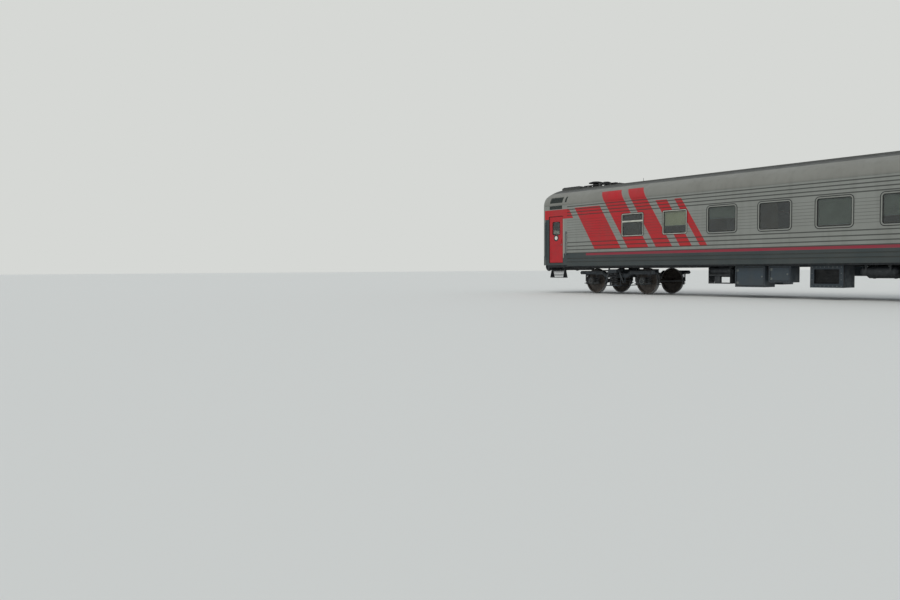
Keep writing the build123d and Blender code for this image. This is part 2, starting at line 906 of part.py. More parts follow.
def make_end_door_pane(end):
    middle = end_door_inner() + end_door_thickness / 2
    return end_window(end, middle - pane_thickness / 2, pane_thickness, fit_gap)


def make_tail_lamps():
    """Round lamp housings with a rim, three on each end wall."""
    found = []
    y = half_width - lamp_inset
    for end in (-1, 1):
        for side, rise in ((-1, high_lamp_rise), (1, high_lamp_rise), (end, low_lamp_rise)):
            profile = (
                (0, 0), (0, lamp_radius), (lamp_depth, lamp_radius), (lamp_depth, lamp_radius - lamp_rim),
                (lamp_depth - lamp_rim, lamp_radius - lamp_rim), (lamp_depth - lamp_rim, 0),
            )
            lamp = turned(profile, half_length, 0, 0)
            placed = Rot(0, 0, 180) * lamp if end < 0 else lamp
            found.append(Pos(0, side * y, floor_top + rise) * placed)
    return found


# Side doors


def make_side_door(side, end):
    x = door_x(end)
    outer = side * (half_width - door_setback)
    inner = outer - side * door_leaf_thickness
    half = door_leaf_width / 2
    z0, z1 = door_leaf_bottom, door_leaf_bottom + door_leaf_height
    leaf = block(x - half, x + half, inner, outer, z0, z1)
    window = rounded_prism(x, door_window_middle, door_window_width, door_window_height, door_window_corner,
                           inner - side * weld, outer + side * weld)
    panel_foot = z0 + door_panel_foot
    reach = half - door_panel_margin
    panel = block(x - reach, x + reach, outer - side * door_panel_recess, outer + side * weld, panel_foot,
                  panel_foot + door_panel_height)
    leaf = leaf.cut(window, panel)
    plate = rod((x, outer - side * weld, door_plate_height),
                (x, outer + side * door_plate_proud, door_plate_height), door_plate_radius)
    handle_x = x - end * (half - door_handle_inset)
    handle_y = outer + side * door_handle_standoff
    handle_z = door_plate_height - door_handle_drop
    stud = rod((handle_x, outer - side * weld, handle_z), (handle_x, handle_y, handle_z), door_handle_radius)
    grip = rod((handle_x, handle_y, handle_z + door_handle_radius),
               (handle_x, handle_y, handle_z - door_handle_length), door_handle_radius)
    return fuse([leaf, plate, stud, grip] + door_knuckles(side, end, fixed=False))


def make_side_door_pane(side, end):
    outer = side * (half_width - door_setback - door_leaf_thickness / 2 + pane_thickness / 2)
    return rounded_prism(door_x(end), door_window_middle, door_window_width - 2 * fit_gap,
                         door_window_height - 2 * fit_gap, door_window_corner - fit_gap,
                         outer - side * pane_thickness, outer)


# Windows


def pane_corner(corner, frame):
    return max(corner - frame, least_pane_corner)


def make_window_frames():
    found = []
    for side in (-1, 1):
        outer = side * (half_width + window_frame_proud)
        inner = outer - side * window_frame_depth
        for k, (x, z, width, height, corner, frame) in enumerate(side_windows(side)):
            hole = rounded_prism(x, z, width - 2 * frame, height - 2 * frame, pane_corner(corner, frame),
                                 outer + side * weld, inner - side * weld)
            ring = rounded_prism(x, z, width, height, corner, outer, inner).cut(hole)
            if side < 0 and k == 0:
                half, middle = width / 2 - frame + weld, floor_top + transom_rise
                ring = fuse([ring, block(x - half, x + half, outer - side * transom_setback,
                                         outer - side * (pane_setback - fit_gap), middle - transom_bar / 2,
                                         middle + transom_bar / 2)])
            found.append(ring)
    return found


def make_window_panes():
    found = []
    for side in (-1, 1):
        face = side * (half_width + window_frame_proud - pane_setback)
        for x, z, width, height, corner, frame in side_windows(side):
            inset = frame + fit_gap
            found.append(rounded_prism(x, z, width - 2 * inset, height - 2 * inset,
                                       pane_corner(corner, frame) - fit_gap, face,
                                       face - side * pane_thickness))
    return found


# Floor and underframe


def make_floor():
    return block(-floor_end, floor_end, -inner_half, inner_half, floor_bottom, floor_top)


def cross_member(x, reach):
    return block(x - cross_member_width / 2, x + cross_member_width / 2, -reach, reach,
                 floor_bottom - cross_member_depth, floor_bottom)


def make_underframe():
    """Side sills, cross-members, equipment rails, main pipes, body bolsters and end frames."""
    members_end = truck_x - wheelbase
    reach = inner_half - sill_width - fit_gap
    rail_top = floor_bottom - cross_member_depth - fit_gap
    pipe_z = equipment_top - fit_gap - main_pipe_radius
    parts = []
    for side in (-1, 1):
        parts.append(block(-floor_end, floor_end, side * (inner_half - sill_width), side * inner_half,
                           floor_bottom - sill_depth, floor_bottom))
        for y in (inner_rail_y, outer_rail_y):
            parts.append(block(-members_end, members_end, side * (y - equipment_rail_width / 2),
                               side * (y + equipment_rail_width / 2), equipment_top, rail_top))
        parts.append(rod((-floor_end + fit_gap, side * inner_rail_y, pipe_z),
                         (floor_end - fit_gap, side * inner_rail_y, pipe_z), main_pipe_radius))
    for k in range(cross_member_count):
        parts.append(cross_member(members_end * (2 * k / (cross_member_count - 1) - 1), reach))
    for end in (-1, 1):
        parts += [make_body_bolster(end, reach), make_end_frame(end, reach)]
    return parts


def make_body_bolster(end, reach):
    """The beam over a truck, with its centre plate, kingpin and side bearers."""
    x = end * truck_x
    root = floor_bottom - weld
    parts = [
        block(x - body_bolster_width / 2, x + body_bolster_width / 2, -reach, reach,
              floor_bottom - body_bolster_depth, floor_bottom),
        rod((x, 0, pivot_plate_bottom), (x, 0, root), pivot_plate_radius),
        rod((x, 0, pivot_plate_bottom - kingpin_depth), (x, 0, root), kingpin_radius),
    ]
    for side in (-1, 1):
        parts.append(rod((x, side * side_bearer_y, pivot_plate_bottom), (x, side * side_bearer_y, root),
                         side_bearer_radius))
    return fuse(parts)


def make_end_frame(end, reach):
    """Draft sills on a cross-member, and the end beam that the coupler passes through."""
    start = half_length - draft_sill_length
    beam = block(end * floor_end, end * half_length, -end_beam_half_width, end_beam_half_width,
                 end_beam_bottom, end_beam_top)
    half = coupler_shank_half_height + coupler_clearance
    opening = block(end * (floor_end - overshoot), end * (half_length + overshoot), -draft_sill_gap / 2,
                    draft_sill_gap / 2, coupler_height - half, coupler_height + half)
    member_x = end * (start + draft_member_inset + cross_member_width / 2)
    parts = [beam.cut(opening), cross_member(member_x, reach)]
    for side in (-1, 1):
        y = side * draft_sill_gap / 2
        parts.append(block(end * start, end * (floor_end + weld), y, y + side * draft_sill_plate,
                           floor_bottom - draft_sill_depth, floor_bottom))
    return fuse(parts)


# Equipment under the floor


def make_cabinets():
    """Sheet-metal cabinets with framed doors on their outer faces."""
    found = []
    margin = cabinet_door_margin
    for side, rows in ((-1, near_cabinet_rows), (1, far_cabinet_rows)):
        for x0, x1, depth, bottom, doors in rows:
            body = block(x0, x1, side * (cabinet_face - depth), side * cabinet_face, up(bottom),
                         equipment_top)
            pitch = (x1 - x0) / doors
            recesses = [
                block(x0 + k * pitch + margin, x0 + (k + 1) * pitch - margin,
                      side * (cabinet_face - cabinet_door_recess), side * (cabinet_face + weld),
                      up(bottom) + margin, equipment_top - margin)
                for k in range(round(doors))
            ]
            found.append(body.cut(*recesses))
    return found


def make_cooler():
    """A cooling unit: a deep frame round a bank of fins."""
    body = block(cooler_x0, cooler_x1, -cabinet_face, cooler_depth - cabinet_face, cooler_bottom,
                 equipment_top)
    z0, z1 = cooler_bottom + cooler_margin, equipment_top - cooler_margin
    x0, x1 = cooler_x0 + cooler_margin, cooler_x1 - cooler_margin
    back = cooler_mouth_depth - cabinet_face
    pitch = (z1 - z0) / cooler_fins
    parts = [body.cut(block(x0, x1, -cabinet_face - weld, back, z0, z1))]
    for k in range(cooler_fins):
        z, half = z0 + (k + 0.5) * pitch, pitch * cooler_fin_share / 2
        parts.append(block(x0 - weld, x1 + weld, back - cooler_mouth_depth / 2, back + weld, z - half,
                           z + half))
    return fuse(parts)


def make_tanks():
    """Air tanks with dished ends, in straps."""
    found = []
    for x0, x1, inset, height, radius in tank_rows:
        y, z = inset - cabinet_face, up(height)
        dish, neck, reach = radius * tank_dish_share, radius * tank_neck_share, radius + strap_thickness
        profile = ((x0, 0), (x0, neck), (x0 + dish, radius), (x1 - dish, radius), (x1, neck), (x1, 0))
        parts = [turned(profile, 0, y, z)]
        for x in (x0 + 2 * dish + strap_width, x1 - 2 * dish - strap_width):
            near, far = x - strap_width / 2, x + strap_width / 2
            parts.append(rod((near, y, z), (far, y, z), reach))
            parts.append(block(near, far, y - reach, y + reach, z, equipment_top))
        found.append(fuse(parts))
    return found


def make_brake_rack():
    """Hanger plates tied by two rails, carrying the brake cylinder, a reservoir and the air valve."""
    outer, inner = -cabinet_face, brake_rack_depth - cabinet_face
    plates = [(brake_rack_x0, brake_rack_x0 + brake_plate_thickness),
              (brake_rack_x1 - brake_plate_thickness, brake_rack_x1)]
    between = (brake_rack_x0 + weld, brake_rack_x1 - weld)
    slant = [(inner, equipment_top), (outer, equipment_top), (outer, brake_rack_bottom),
             (outer + brake_rack_depth / 2, brake_rack_bottom)]
    parts = [along_x(across(slant), *plate) for plate in plates]
    for height in brake_rail_heights:
        parts.append(block(*between, outer, outer + brake_rail, up(height), up(height) + brake_rail))
    for inset, height, radius, overhang in brake_drum_rows:
        x0, x1 = brake_rack_x0 - overhang, brake_rack_x1 + overhang
        neck = radius * brake_drum_neck_share
        profile = ((x0, 0), (x0, neck), (x0 + overhang, radius), (x1 - overhang, radius), (x1, neck), (x1, 0))
        parts.append(turned(profile, 0, outer + inset, up(height)))
    low = up(brake_rail_heights[0]) + brake_rail - weld
    parts.append(block(brake_valve_x0, brake_valve_x1, outer, outer + brake_valve_depth, low,
                       low + brake_valve_height))
    return fuse(parts)


# Entrance steps and handrails


def make_steps():
    """Two treads and a slatted back between cheek plates, under each side door."""
    found = []
    sill_foot = floor_bottom - sill_depth
    lower, upper = floor_top - lower_tread_drop, floor_top - upper_tread_drop
    toe, upper_toe = half_width - lower_step_inset, half_width - upper_step_inset
    back = half_width - step_back_inset
    for side in (-1, 1):
        for end in (-1, 1):
            x = door_x(end)
            cheek = across([
                (side * (inner_half - sill_width), sill_foot), (side * inner_half, sill_foot),
                (side * upper_toe, upper + step_tread_thickness), (side * toe, lower + step_toe),
                (side * toe, lower), (side * back, lower),
            ])
            inner_face = step_half_width - step_cheek
            parts = [along_x(cheek, x + s * step_half_width, x + s * inner_face) for s in (-1, 1)]
            inside = inner_face + weld
            across_x = (x - inside, x + inside)
            parts.append(block(*across_x, side * back, side * toe, lower, lower + step_tread_thickness))
            parts.append(block(*across_x, side * (back + step_toe), side * upper_toe, upper,
                               upper + step_tread_thickness))
            pitch = (upper - lower - step_tread_thickness) / step_slats
            for k in range(step_slats):
                z = lower + step_tread_thickness + (k + 1 - step_slat_share) * pitch
                y = back + step_toe * (k + 1) / step_slats
                parts.append(block(*across_x, side * y, side * (y + step_slat_thickness), z,
                                   z + pitch * step_slat_share))
            found.append(fuse(parts))
    return found


def make_handrails():
    found = []
    for side in (-1, 1):
        for end in (-1, 1):
            for inset, low, high in handrail_rows:
                x, y = end * (half_length - inset), side * (half_width + handrail_standoff)
                z0, z1 = floor_top + low, floor_top + high
                parts = [rod((x, y, z0), (x, y, z1), handrail_radius)]
                for z in (z0 + handrail_foot, z1 - handrail_foot):
                    parts.append(rod((x, side * half_width, z), (x, y, z), handrail_stud_radius))
                found.append(fuse(parts))
    return found


# Gangways, bridge plates, buffers and couplers


def chamfered(width, height, edge):
    """A rectangle with cut corners, about the origin."""
    half, tall = width / 2, height / 2
    points = [(half - edge, tall), (half, tall - edge)]
    points += [(x, -y) for x, y in reversed(points)]
    points += [(-x, y) for x, y in reversed(points)]
    return make_face(Polyline(*points, close=True))


def make_gangway(end):
    """A rubber tube on a flat flange, round the end door like an arch."""
    inner_x, outer_x = half_length + bellows_flange_depth - weld, half_length + bellows_depth
    x, half, r = end * (inner_x + outer_x) / 2, bellows_half_width, bellows_corner
    top = bellows_top - bellows_band / 2
    slack = r * (1 - math.sqrt(0.5))
    path = Wire([
        Line((x, -half, bellows_bottom), (x, -half, top - r)).edge(),
        ThreePointArc((x, -half, top - r), (x, slack - half, top - slack), (x, r - half, top)).edge(),
        Line((x, r - half, top), (x, half - r, top)).edge(),
        ThreePointArc((x, half - r, top), (x, half - slack, top - slack), (x, half, top - r)).edge(),
        Line((x, half, top - r), (x, half, bellows_bottom)).edge(),
    ])
    start = Plane(origin=(x, -half, bellows_bottom), x_dir=(1, 0, 0), z_dir=(0, 0, 1))
    tube = sweep(start * chamfered(outer_x - inner_x, bellows_band, bellows_edge), path)
    face = Plane(origin=(end * half_length, 0, bellows_bottom), x_dir=(0, end, 0), z_dir=(end, 0, 0))
    band = bellows_flange_band / 2
    flange = arched_plate(face, half + band, top + band - bellows_bottom, r + band)
    hole = arched_plate(face, half - band, top - band - bellows_bottom, r - band)
    return fuse([flange.cut(hole), tube])


def arched_plate(plane, half, height, corner):
    """A plate with a square foot and rounded shoulders, as deep as a gangway's flange."""
    plate = plane * (Pos(0, height / 2) * RectangleRounded(2 * half, height, corner))
    foot = plane * (Pos(0, corner) * Rectangle(2 * half, 2 * corner))
    return extrude(plate, bellows_flange_depth).fuse(extrude(foot, bellows_flange_depth))


def make_bridge_plates():
    """Steel bridge plates with two brackets that seat on the end beam."""
    found = []
    for end in (-1, 1):
        parts = [block(end * half_length, end * (half_length + bridge_plate_length), -bridge_plate_width / 2,
                       bridge_plate_width / 2, end_beam_top, end_beam_top + bridge_plate_thickness)]
        for side in (-1, 1):
            parts.append(block(end * half_length, end * (half_length + bridge_bracket_depth),
                               side * bridge_bracket_inner, side * bridge_bracket_outer,
                               end_beam_top - bridge_bracket_height, end_beam_top + weld))
        found.append(fuse(parts))
    return found


def make_buffers():
    """Side buffers: base plate, barrel, plunger and a slightly domed round head."""
    found = []
    face = coupler_overhang + buffer_proud
    head = face - buffer_head_thickness
    profile = (
        (0, 0), (0, buffer_base_radius), (buffer_base_thickness, buffer_base_radius),
        (buffer_base_thickness, buffer_barrel_radius), (buffer_barrel_length, buffer_barrel_radius),
        (buffer_barrel_length, buffer_plunger_radius), (head, buffer_plunger_radius),
        (head, buffer_head_radius), (face - buffer_head_edge, buffer_head_radius),
        (face, buffer_head_radius * buffer_flat_share), (face, 0),
    )
    buffer = turned(profile, half_length, 0, 0)
    for placed in (Rot(0, 0, 180) * buffer, buffer):
        for side in (-1, 1):
            found.append(Pos(0, side * buffer_spacing / 2, buffer_height) * placed)
    return found


def make_couplers():
    """Automatic couplers: a jawed head on a shank, with its draft gear between the draft sills."""
    gear_x = half_length - draft_gear_inset
    shank_x = gear_x + draft_gear_length
    face = make_face(Polyline(*[(coupler_line + x, y) for x, y in coupler_outline], close=True))
    head = Pos(0, 0, coupler_height - coupler_head_half_height) * extrude(
        face, 2 * coupler_head_half_height, dir=(0, 0, 1))
    shank = block(shank_x - weld, coupler_line - coupler_neck, -coupler_shank_half_width,
                  coupler_shank_half_width, coupler_height - coupler_shank_half_height,
                  coupler_height + coupler_shank_half_height)
    lock_x = coupler_line - coupler_lock_back
    lock = block(lock_x, lock_x + coupler_lock_depth, -coupler_lock_right, coupler_lock_left,
                 coupler_height - coupler_lock_half_height, coupler_height + coupler_lock_half_height)
    gear = block(gear_x, shank_x, -draft_sill_gap / 2, draft_sill_gap / 2,
                 floor_bottom - draft_sill_depth + draft_gear_margin, floor_bottom - draft_gear_margin)
    coupler = fuse([head, shank, lock, gear])
    return [Rot(0, 0, 180) * coupler, coupler]


# Rooms


def make_vestibule_walls():
    """Cross walls between the vestibules and the corridor, each with a doorway."""
    found = []
    half = vestibule_wall_thickness / 2
    middle = corridor_width / 2 - inner_half
    for end in (-1, 1):
        x = end * vestibule_wall_x
        wall = block(x - half, x + half, -inner_half, inner_half, floor_top, ceiling_bottom)
        doorway = block(x - half - weld, x + half + weld, middle - room_door_width / 2,
                        middle + room_door_width / 2, floor_top - weld, floor_top + room_door_height)
        found.append(wall.cut(doorway))
    return found


def make_corridor_wall():
    """Panels between the rooms' doorways, and a lintel over each doorway."""
    found = []
    end = vestibule_wall_x - vestibule_wall_thickness / 2
    half = room_door_width / 2
    doors = room_doors()
    starts = [-end] + [x + half for x in doors]
    stops = [x - half for x in doors] + [end]
    faces = (corridor_wall_y, corridor_wall_y + inner_wall_thickness)
    for x0, x1 in zip(starts, stops):
        found.append(block(x0, x1, *faces, floor_top, ceiling_bottom))
    for x in doors:
        found.append(block(x - half + fit_gap, x + half - fit_gap, *faces, floor_top + room_door_height,
                           ceiling_bottom))
    return found


def make_compartment_walls():
    found = []
    for x in compartment_bounds() + [-lavatory_wall_x, lavatory_wall_x]:
        found.append(block(x - inner_wall_thickness / 2, x + inner_wall_thickness / 2,
                           corridor_wall_y + inner_wall_thickness, inner_half, floor_top, ceiling_bottom))
    return found


def make_ceiling():
    return block(-shell_end, shell_end, -inner_half, inner_half, ceiling_bottom,
                 ceiling_bottom + ceiling_thickness)


def each_berth(height, thickness):
    """Solids against both cross walls of every compartment."""
    found = []
    bounds = compartment_bounds()
    for a, b in zip(bounds, bounds[1:]):
        for start, turn in ((a, 1), (b, -1)):
            x = start + turn * inner_wall_thickness / 2
            found.append(block(x, x + turn * berth_width, inner_half - berth_length, inner_half,
                               floor_top + height - thickness, floor_top + height))
    return found


def make_tables():
    found = []
    bounds = compartment_bounds()
    for a, b in zip(bounds, bounds[1:]):
        x = (a + b) / 2
        found.append(block(x - table_width / 2, x + table_width / 2, inner_half - table_length, inner_half,
                           floor_top + table_height - table_thickness, floor_top + table_height))
    return found


# Trucks


def make_truck_frame():
    """Side sills with a dip for the bolster, two transoms, and the hung spring planks."""
    far, slope = truck_half_length, sill_dip + sill_slope
    half = [
        (sill_dip, sill_low_top), (slope, sill_top), (far - truck_nose, sill_top),
        (far, sill_bottom + truck_nose), (far - truck_nose, sill_bottom), (slope, sill_bottom),
        (sill_dip - truck_nose, sill_low_bottom),
    ]
    outline = half + [(-x, z) for x, z in reversed(half)]
    parts = []
    for side in (-1, 1):
        parts.append(side_plate(outline, side * sill_inner_face, side * sill_face))
        parts.append(block(-plank_half_length, plank_half_length, side * (link_y - plank_inner_reach),
                           side * bolster_reach, spring_plank_bottom, spring_plank_top))
        for turn in (-1, 1):
            x = turn * link_x
            parts.append(rod((x, side * link_y, spring_plank_bottom + plank_tie_step),
                             (x, side * link_y, link_top), link_radius))
            parts.append(block(x - bracket_half, x + bracket_half, side * (sill_face - weld),
                               side * (link_y + bracket_half), bracket_bottom, bracket_top))
            x = turn * damper_foot_x
            parts.append(block(x - bracket_half, x + bracket_half, side * (sill_face - damper_leg_width),
                               side * sill_face, damper_foot_z - bracket_half, sill_low_bottom + overshoot))
            parts.append(rod((x, side * (sill_face - weld), damper_foot_z),
                             (x, side * (damper_y + damper_eye_half_width), damper_foot_z),
                             damper_pin_radius))
    for turn in (-1, 1):
        parts.append(block(turn * transom_inner, turn * transom_outer, -sill_inner_face - weld,
                           sill_inner_face + weld, transom_bottom, transom_top))
    parts.append(block(-plank_tie_half_width, plank_tie_half_width, -link_y, link_y, spring_plank_bottom,
                       spring_plank_top - plank_tie_step))
    return fuse(parts)


def make_truck_bolster():
    """The cross-beam that carries the body, deeper between the side sills, with lugs for the dampers."""
    top = pivot_plate_bottom - running_gap
    half = [
        (bolster_reach, top), (bolster_reach, bolster_end_bottom), (bolster_shoulder, bolster_end_bottom),
        (bolster_shoulder - bolster_slope, bolster_bottom),
    ]
    outline = across(half + [(-y, z) for y, z in reversed(half)])
    parts = [along_x(outline, -bolster_half_width, bolster_half_width)]
    for side in (-1, 1):
        lug_y = damper_y + damper_eye_half_width + weld
        for turn in (-1, 1):
            x = turn * damper_head_x
            parts.append(block(turn * (bolster_half_width - weld), x + turn * lug_reach, side * lug_y,
                               side * (lug_y + lug_thickness), damper_head_z - lug_reach,
                               damper_head_z + lug_reach))
            parts.append(rod((x, side * (lug_y + weld), damper_head_z),
                             (x, side * (damper_y - damper_eye_half_width), damper_head_z),
                             damper_pin_radius))
    bore = rod((0, 0, bolster_bottom - overshoot), (0, 0, top + overshoot), kingpin_radius + running_gap)
    return fuse(parts).cut(bore)


def make_axle_boxes():
    """Winged axle boxes with round covers, bored for the journals."""
    found = []
    for turn in (-1, 1):
        x = turn * wheelbase / 2
        for side in (-1, 1):
            half = [
                (wing_half_length, wing_bottom), (wing_half_length, wing_seat), (wing_root, wing_seat),
                (wing_root - wing_root_rise, wing_seat + wing_root_rise),
            ]
            wing = [(x + dx, z) for dx, z in half] + [(x - dx, z) for dx, z in reversed(half)]
            parts = [
                rod((x, side * box_inner, axle_height), (x, side * box_outer, axle_height), box_radius),
                rod((x, side * (box_outer - weld), axle_height), (x, side * cover_outer, axle_height),
                    cover_radius),
                side_plate(wing, side * (box_middle - wing_width / 2), side * (box_middle + wing_width / 2)),
            ]
            bore = rod((x, side * (box_inner - weld), axle_height),
                       (x, side * (journal_end + running_gap), axle_height), journal_radius + running_gap)
            found.append(fuse(parts).cut(bore))
    return found


def coil_spring(x, y, low, high, radius):
    """A coil spring as a closed stack of its turns."""
    turns = max(round((high - low) / spring_pitch), 1)
    pitch = (high - low) / turns
    points = [(0, low), (radius - spring_wire / 2, low)]
    for k in range(turns):
        z = low + k * pitch
        points += [(radius, z + pitch / 2), (radius - spring_wire / 2, z + pitch)]
    profile = Plane.XZ * make_face(Polyline(*points, (0, high), close=True))
    return Pos(x, y, 0) * revolve(profile, Axis.Z)


def make_springs():
    """Coil springs over the axle boxes and under the bolster, and leaning hydraulic dampers beside them."""
    found = []
    for turn in (-1, 1):
        for side in (-1, 1):
            for offset in (-box_spring_offset, box_spring_offset):
                found.append(coil_spring(turn * wheelbase / 2 + offset, side * box_middle, wing_seat,
                                         sill_bottom, box_spring_radius))
            found.append(coil_spring(turn * body_spring_x, side * body_spring_y, spring_plank_top,
                                     bolster_end_bottom, body_spring_radius))
            found.append(make_damper(turn, side))
    return found


def make_damper(turn, side):
    """A tube and its wider dust cover on a rod between two eyes, on the pins of the sill and the bolster."""
    y = side * damper_y
    foot = Vector(turn * damper_foot_x, y, damper_foot_z)
    head = Vector(turn * damper_head_x, y, damper_head_z)
    ends = [foot + (head - foot) * share for share in damper_body_shares]
    parts = [rod(foot, head, damper_rod_radius)]
    parts += [rod(ends[0], ends[1], damper_tube_radius), rod(ends[1], ends[2], damper_cover_radius)]
    reach = Vector(0, damper_eye_half_width, 0)
    parts += [rod(middle - reach, middle + reach, damper_eye_radius) for middle in (foot, head)]
    bores = [rod(middle - 2 * reach, middle + 2 * reach, damper_pin_radius + running_gap)
             for middle in (foot, head)]
    return fuse(parts).cut(*bores)


def make_brakes():
    """Brake blocks on hangers, joined in pairs across the truck by beams."""
    found = []
    angle = math.radians(brake_angle)
    inner, back = wheel_radius + brake_gap, wheel_radius + brake_gap + brake_thickness
    low, high = axle_height - brake_beam_half_height, axle_height + brake_beam_half_height
    for turn in (-1, 1):
        axle = turn * wheelbase / 2
        for toward in (-1, 1):
            hanger = axle + toward * brake_hanger_x

            def at(radius, a):
                return (axle + toward * radius * math.cos(a), 0, axle_height + radius * math.sin(a))

            shoe = make_face(Wire([
                ThreePointArc(at(inner, -angle), at(inner, 0), at(inner, angle)).edge(),
                Line(at(inner, angle), at(back, angle)).edge(),
                Line(at(back, angle), at(back, -angle)).edge(),
                Line(at(back, -angle), at(inner, -angle)).edge(),
            ]))
            bar = (hanger - hanger_radius, hanger + hanger_radius)
            parts = [block(*bar, brake_beam_inset - brake_outer, brake_outer - brake_beam_inset, low, high)]
            for side in (-1, 1):
                start = min(side * brake_inner, side * brake_outer)
                parts.append(Pos(0, start, 0) * extrude(shoe, brake_outer - brake_inner, dir=(0, 1, 0)))
                y = side * (brake_inner + brake_outer) / 2
                sides = (y - hanger_radius, y + hanger_radius)
                parts.append(block(*bar, *sides, low, hanger_top + hanger_radius))
                parts.append(rod((hanger, y - side * hanger_pin_start, hanger_top),
                                 (hanger, side * sill_inner_face, hanger_top), hanger_radius))
                parts.append(block(axle + toward * (back - brake_back_reach), hanger, *sides, low, high))
            found.append(fuse(parts))
    return found


def make_wheelset():
    """An axle turned about Y, and a wheel pressed on each of its seats."""
    half_back = wheel_back_spacing / 2
    outside = half_back + wheel_width
    hub_in, hub_out = half_back - hub_inner_reach, outside + hub_outer_reach
    axle_half = [
        (axle_radius, hub_in), (wheel_seat_radius, hub_in), (wheel_seat_radius, hub_out),
        (axle_radius, hub_out), (axle_radius, box_inner - journal_shoulder),
        (journal_radius, box_inner - journal_shoulder), (journal_radius, journal_end), (0, journal_end),
    ]
    axle = axle_half + [(r, -y) for r, y in reversed(axle_half)]
    rim, flange, bore = wheel_radius - rim_thickness, wheel_radius + flange_depth, wheel_seat_radius + fit_gap
    web = half_back + web_centre
    wheel = [
        (bore, hub_in), (hub_radius, hub_in), (hub_radius, web - web_thickness), (rim, web - web_dish),
        (rim, half_back), (flange - flange_shoulder, half_back), (flange, half_back + flange_tip),
        (wheel_radius, half_back + flange_width), (wheel_radius - tread_fall, outside), (rim, outside),
        (rim, web + web_thickness), (hub_radius, web + web_thickness), (hub_radius, hub_out), (bore, hub_out),
    ]
    found = []
    for points in (axle, wheel, [(r, -y) for r, y in wheel]):
        face = make_face(Polyline(*points, close=True))
        found.append(Pos(0, 0, axle_height) * revolve(face, Axis.Y))
    return found


# The whole coach

ENDS = ((-1, "left"), (1, "right"))
SIDES = ((-1, "near"), (1, "far"))

save("floor", make_floor())
save("underframe", *make_underframe())
save("roof", make_roof())
save("air_grilles", *make_grilles())
save("roof_vents", *make_vents())
save("roof_housings", *make_roof_housings())
save("roof_pipes", *make_roof_pipes())
save("tail_lamps", *make_tail_lamps())
save("window_frames", *make_window_frames())
save("window_panes", *make_window_panes())
save("handrails", *make_handrails())
save("entrance_steps", *make_steps())
save("equipment_cabinets", *make_cabinets())
save("cooling_unit", make_cooler())
save("air_tanks", *make_tanks())
save("brake_rack", make_brake_rack())
save("bridge_plates", *make_bridge_plates())
save("buffers", *make_buffers())
save("couplers", *make_couplers())
save("vestibule_walls", *make_vestibule_walls())
save("corridor_wall", *make_corridor_wall())
save("compartment_walls", *make_compartment_walls())
save("ceiling", make_ceiling())
save("lower_berths", *each_berth(berth_height, berth_height))
save("upper_berths", *each_berth(upper_berth_height, upper_berth_thickness))
save("tables", *make_tables())
for side, side_name in SIDES:
    save(f"side_wall_{side_name}", make_side_wall(side))

truck_parts = {
    "truck_frame": [make_truck_frame()],
    "truck_bolster": [make_truck_bolster()],
    "axle_boxes": make_axle_boxes(),
    "springs": make_springs(),
    "brakes": make_brakes(),
}
wheelset = make_wheelset()
for end, end_name in ENDS:
    save(f"end_wall_{end_name}", make_end_wall(end))
    save(f"gangway_{end_name}", make_gangway(end))
    save(f"end_door_{end_name}", make_end_door(end))
    save(f"end_door_pane_{end_name}", make_end_door_pane(end))
    for side, side_name in SIDES:
        save(f"side_door_{side_name}_{end_name}", make_side_door(side, end))
        save(f"side_door_pane_{side_name}_{end_name}", make_side_door_pane(side, end))
    place = Pos(end * truck_x, 0, 0)
    for name, solids in truck_parts.items():
        save(f"{name}_{end_name}", *[place * solid for solid in solids])
    for turn, turn_name in ((-1, "a"), (1, "b")):
        at_axle = place * Pos(turn * wheelbase / 2, 0, 0)
        save(f"wheelset_{end_name}_{turn_name}", *[at_axle * solid for solid in wheelset])
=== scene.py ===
import math

import bmesh
import bpy
from mathutils import Matrix, Vector


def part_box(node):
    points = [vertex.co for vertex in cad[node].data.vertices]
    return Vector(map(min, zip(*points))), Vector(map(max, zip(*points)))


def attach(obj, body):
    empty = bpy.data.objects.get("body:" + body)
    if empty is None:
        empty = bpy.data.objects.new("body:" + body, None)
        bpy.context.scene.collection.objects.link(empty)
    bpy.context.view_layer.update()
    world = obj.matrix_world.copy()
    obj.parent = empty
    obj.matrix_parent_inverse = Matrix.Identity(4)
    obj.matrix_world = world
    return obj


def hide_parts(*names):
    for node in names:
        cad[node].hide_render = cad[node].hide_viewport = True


# A broad-gauge sleeping coach with ribbed sides, dressed in enamel, glass, rubber and cast steel.
# X runs along the coach, the corridor side is at -Y, and Z is up from the wheel flanges' lowest point.
# Sizes are in metres, and heights that go through above_rail are over the rail head.

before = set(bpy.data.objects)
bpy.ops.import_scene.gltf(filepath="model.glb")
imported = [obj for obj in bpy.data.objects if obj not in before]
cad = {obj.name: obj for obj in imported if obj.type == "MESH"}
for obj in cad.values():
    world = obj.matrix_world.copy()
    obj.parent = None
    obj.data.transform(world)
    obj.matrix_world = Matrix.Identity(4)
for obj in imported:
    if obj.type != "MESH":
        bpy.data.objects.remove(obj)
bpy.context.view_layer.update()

# Places read from the frame

BOTH = (-1, 1)
ENDS = ((-1, "left"), (1, "right"))
SIDES = ((-1, "near"), (1, "far"))
SIDE_INNER_Y, SIDE_Y = [corner.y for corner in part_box("side_wall_far")]
BODY_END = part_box("gangway_right")[0].x
FLOOR_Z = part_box("floor")[1].z
TRUCK_X = sum(corner.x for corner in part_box("truck_frame_right")) / 2
HALF_BASE = abs(sum(corner.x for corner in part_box("wheelset_right_b")) / 2 - TRUCK_X)
AXLE_Z = sum(corner.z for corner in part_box("wheelset_right_b")) / 2

# Sizes that the solids have

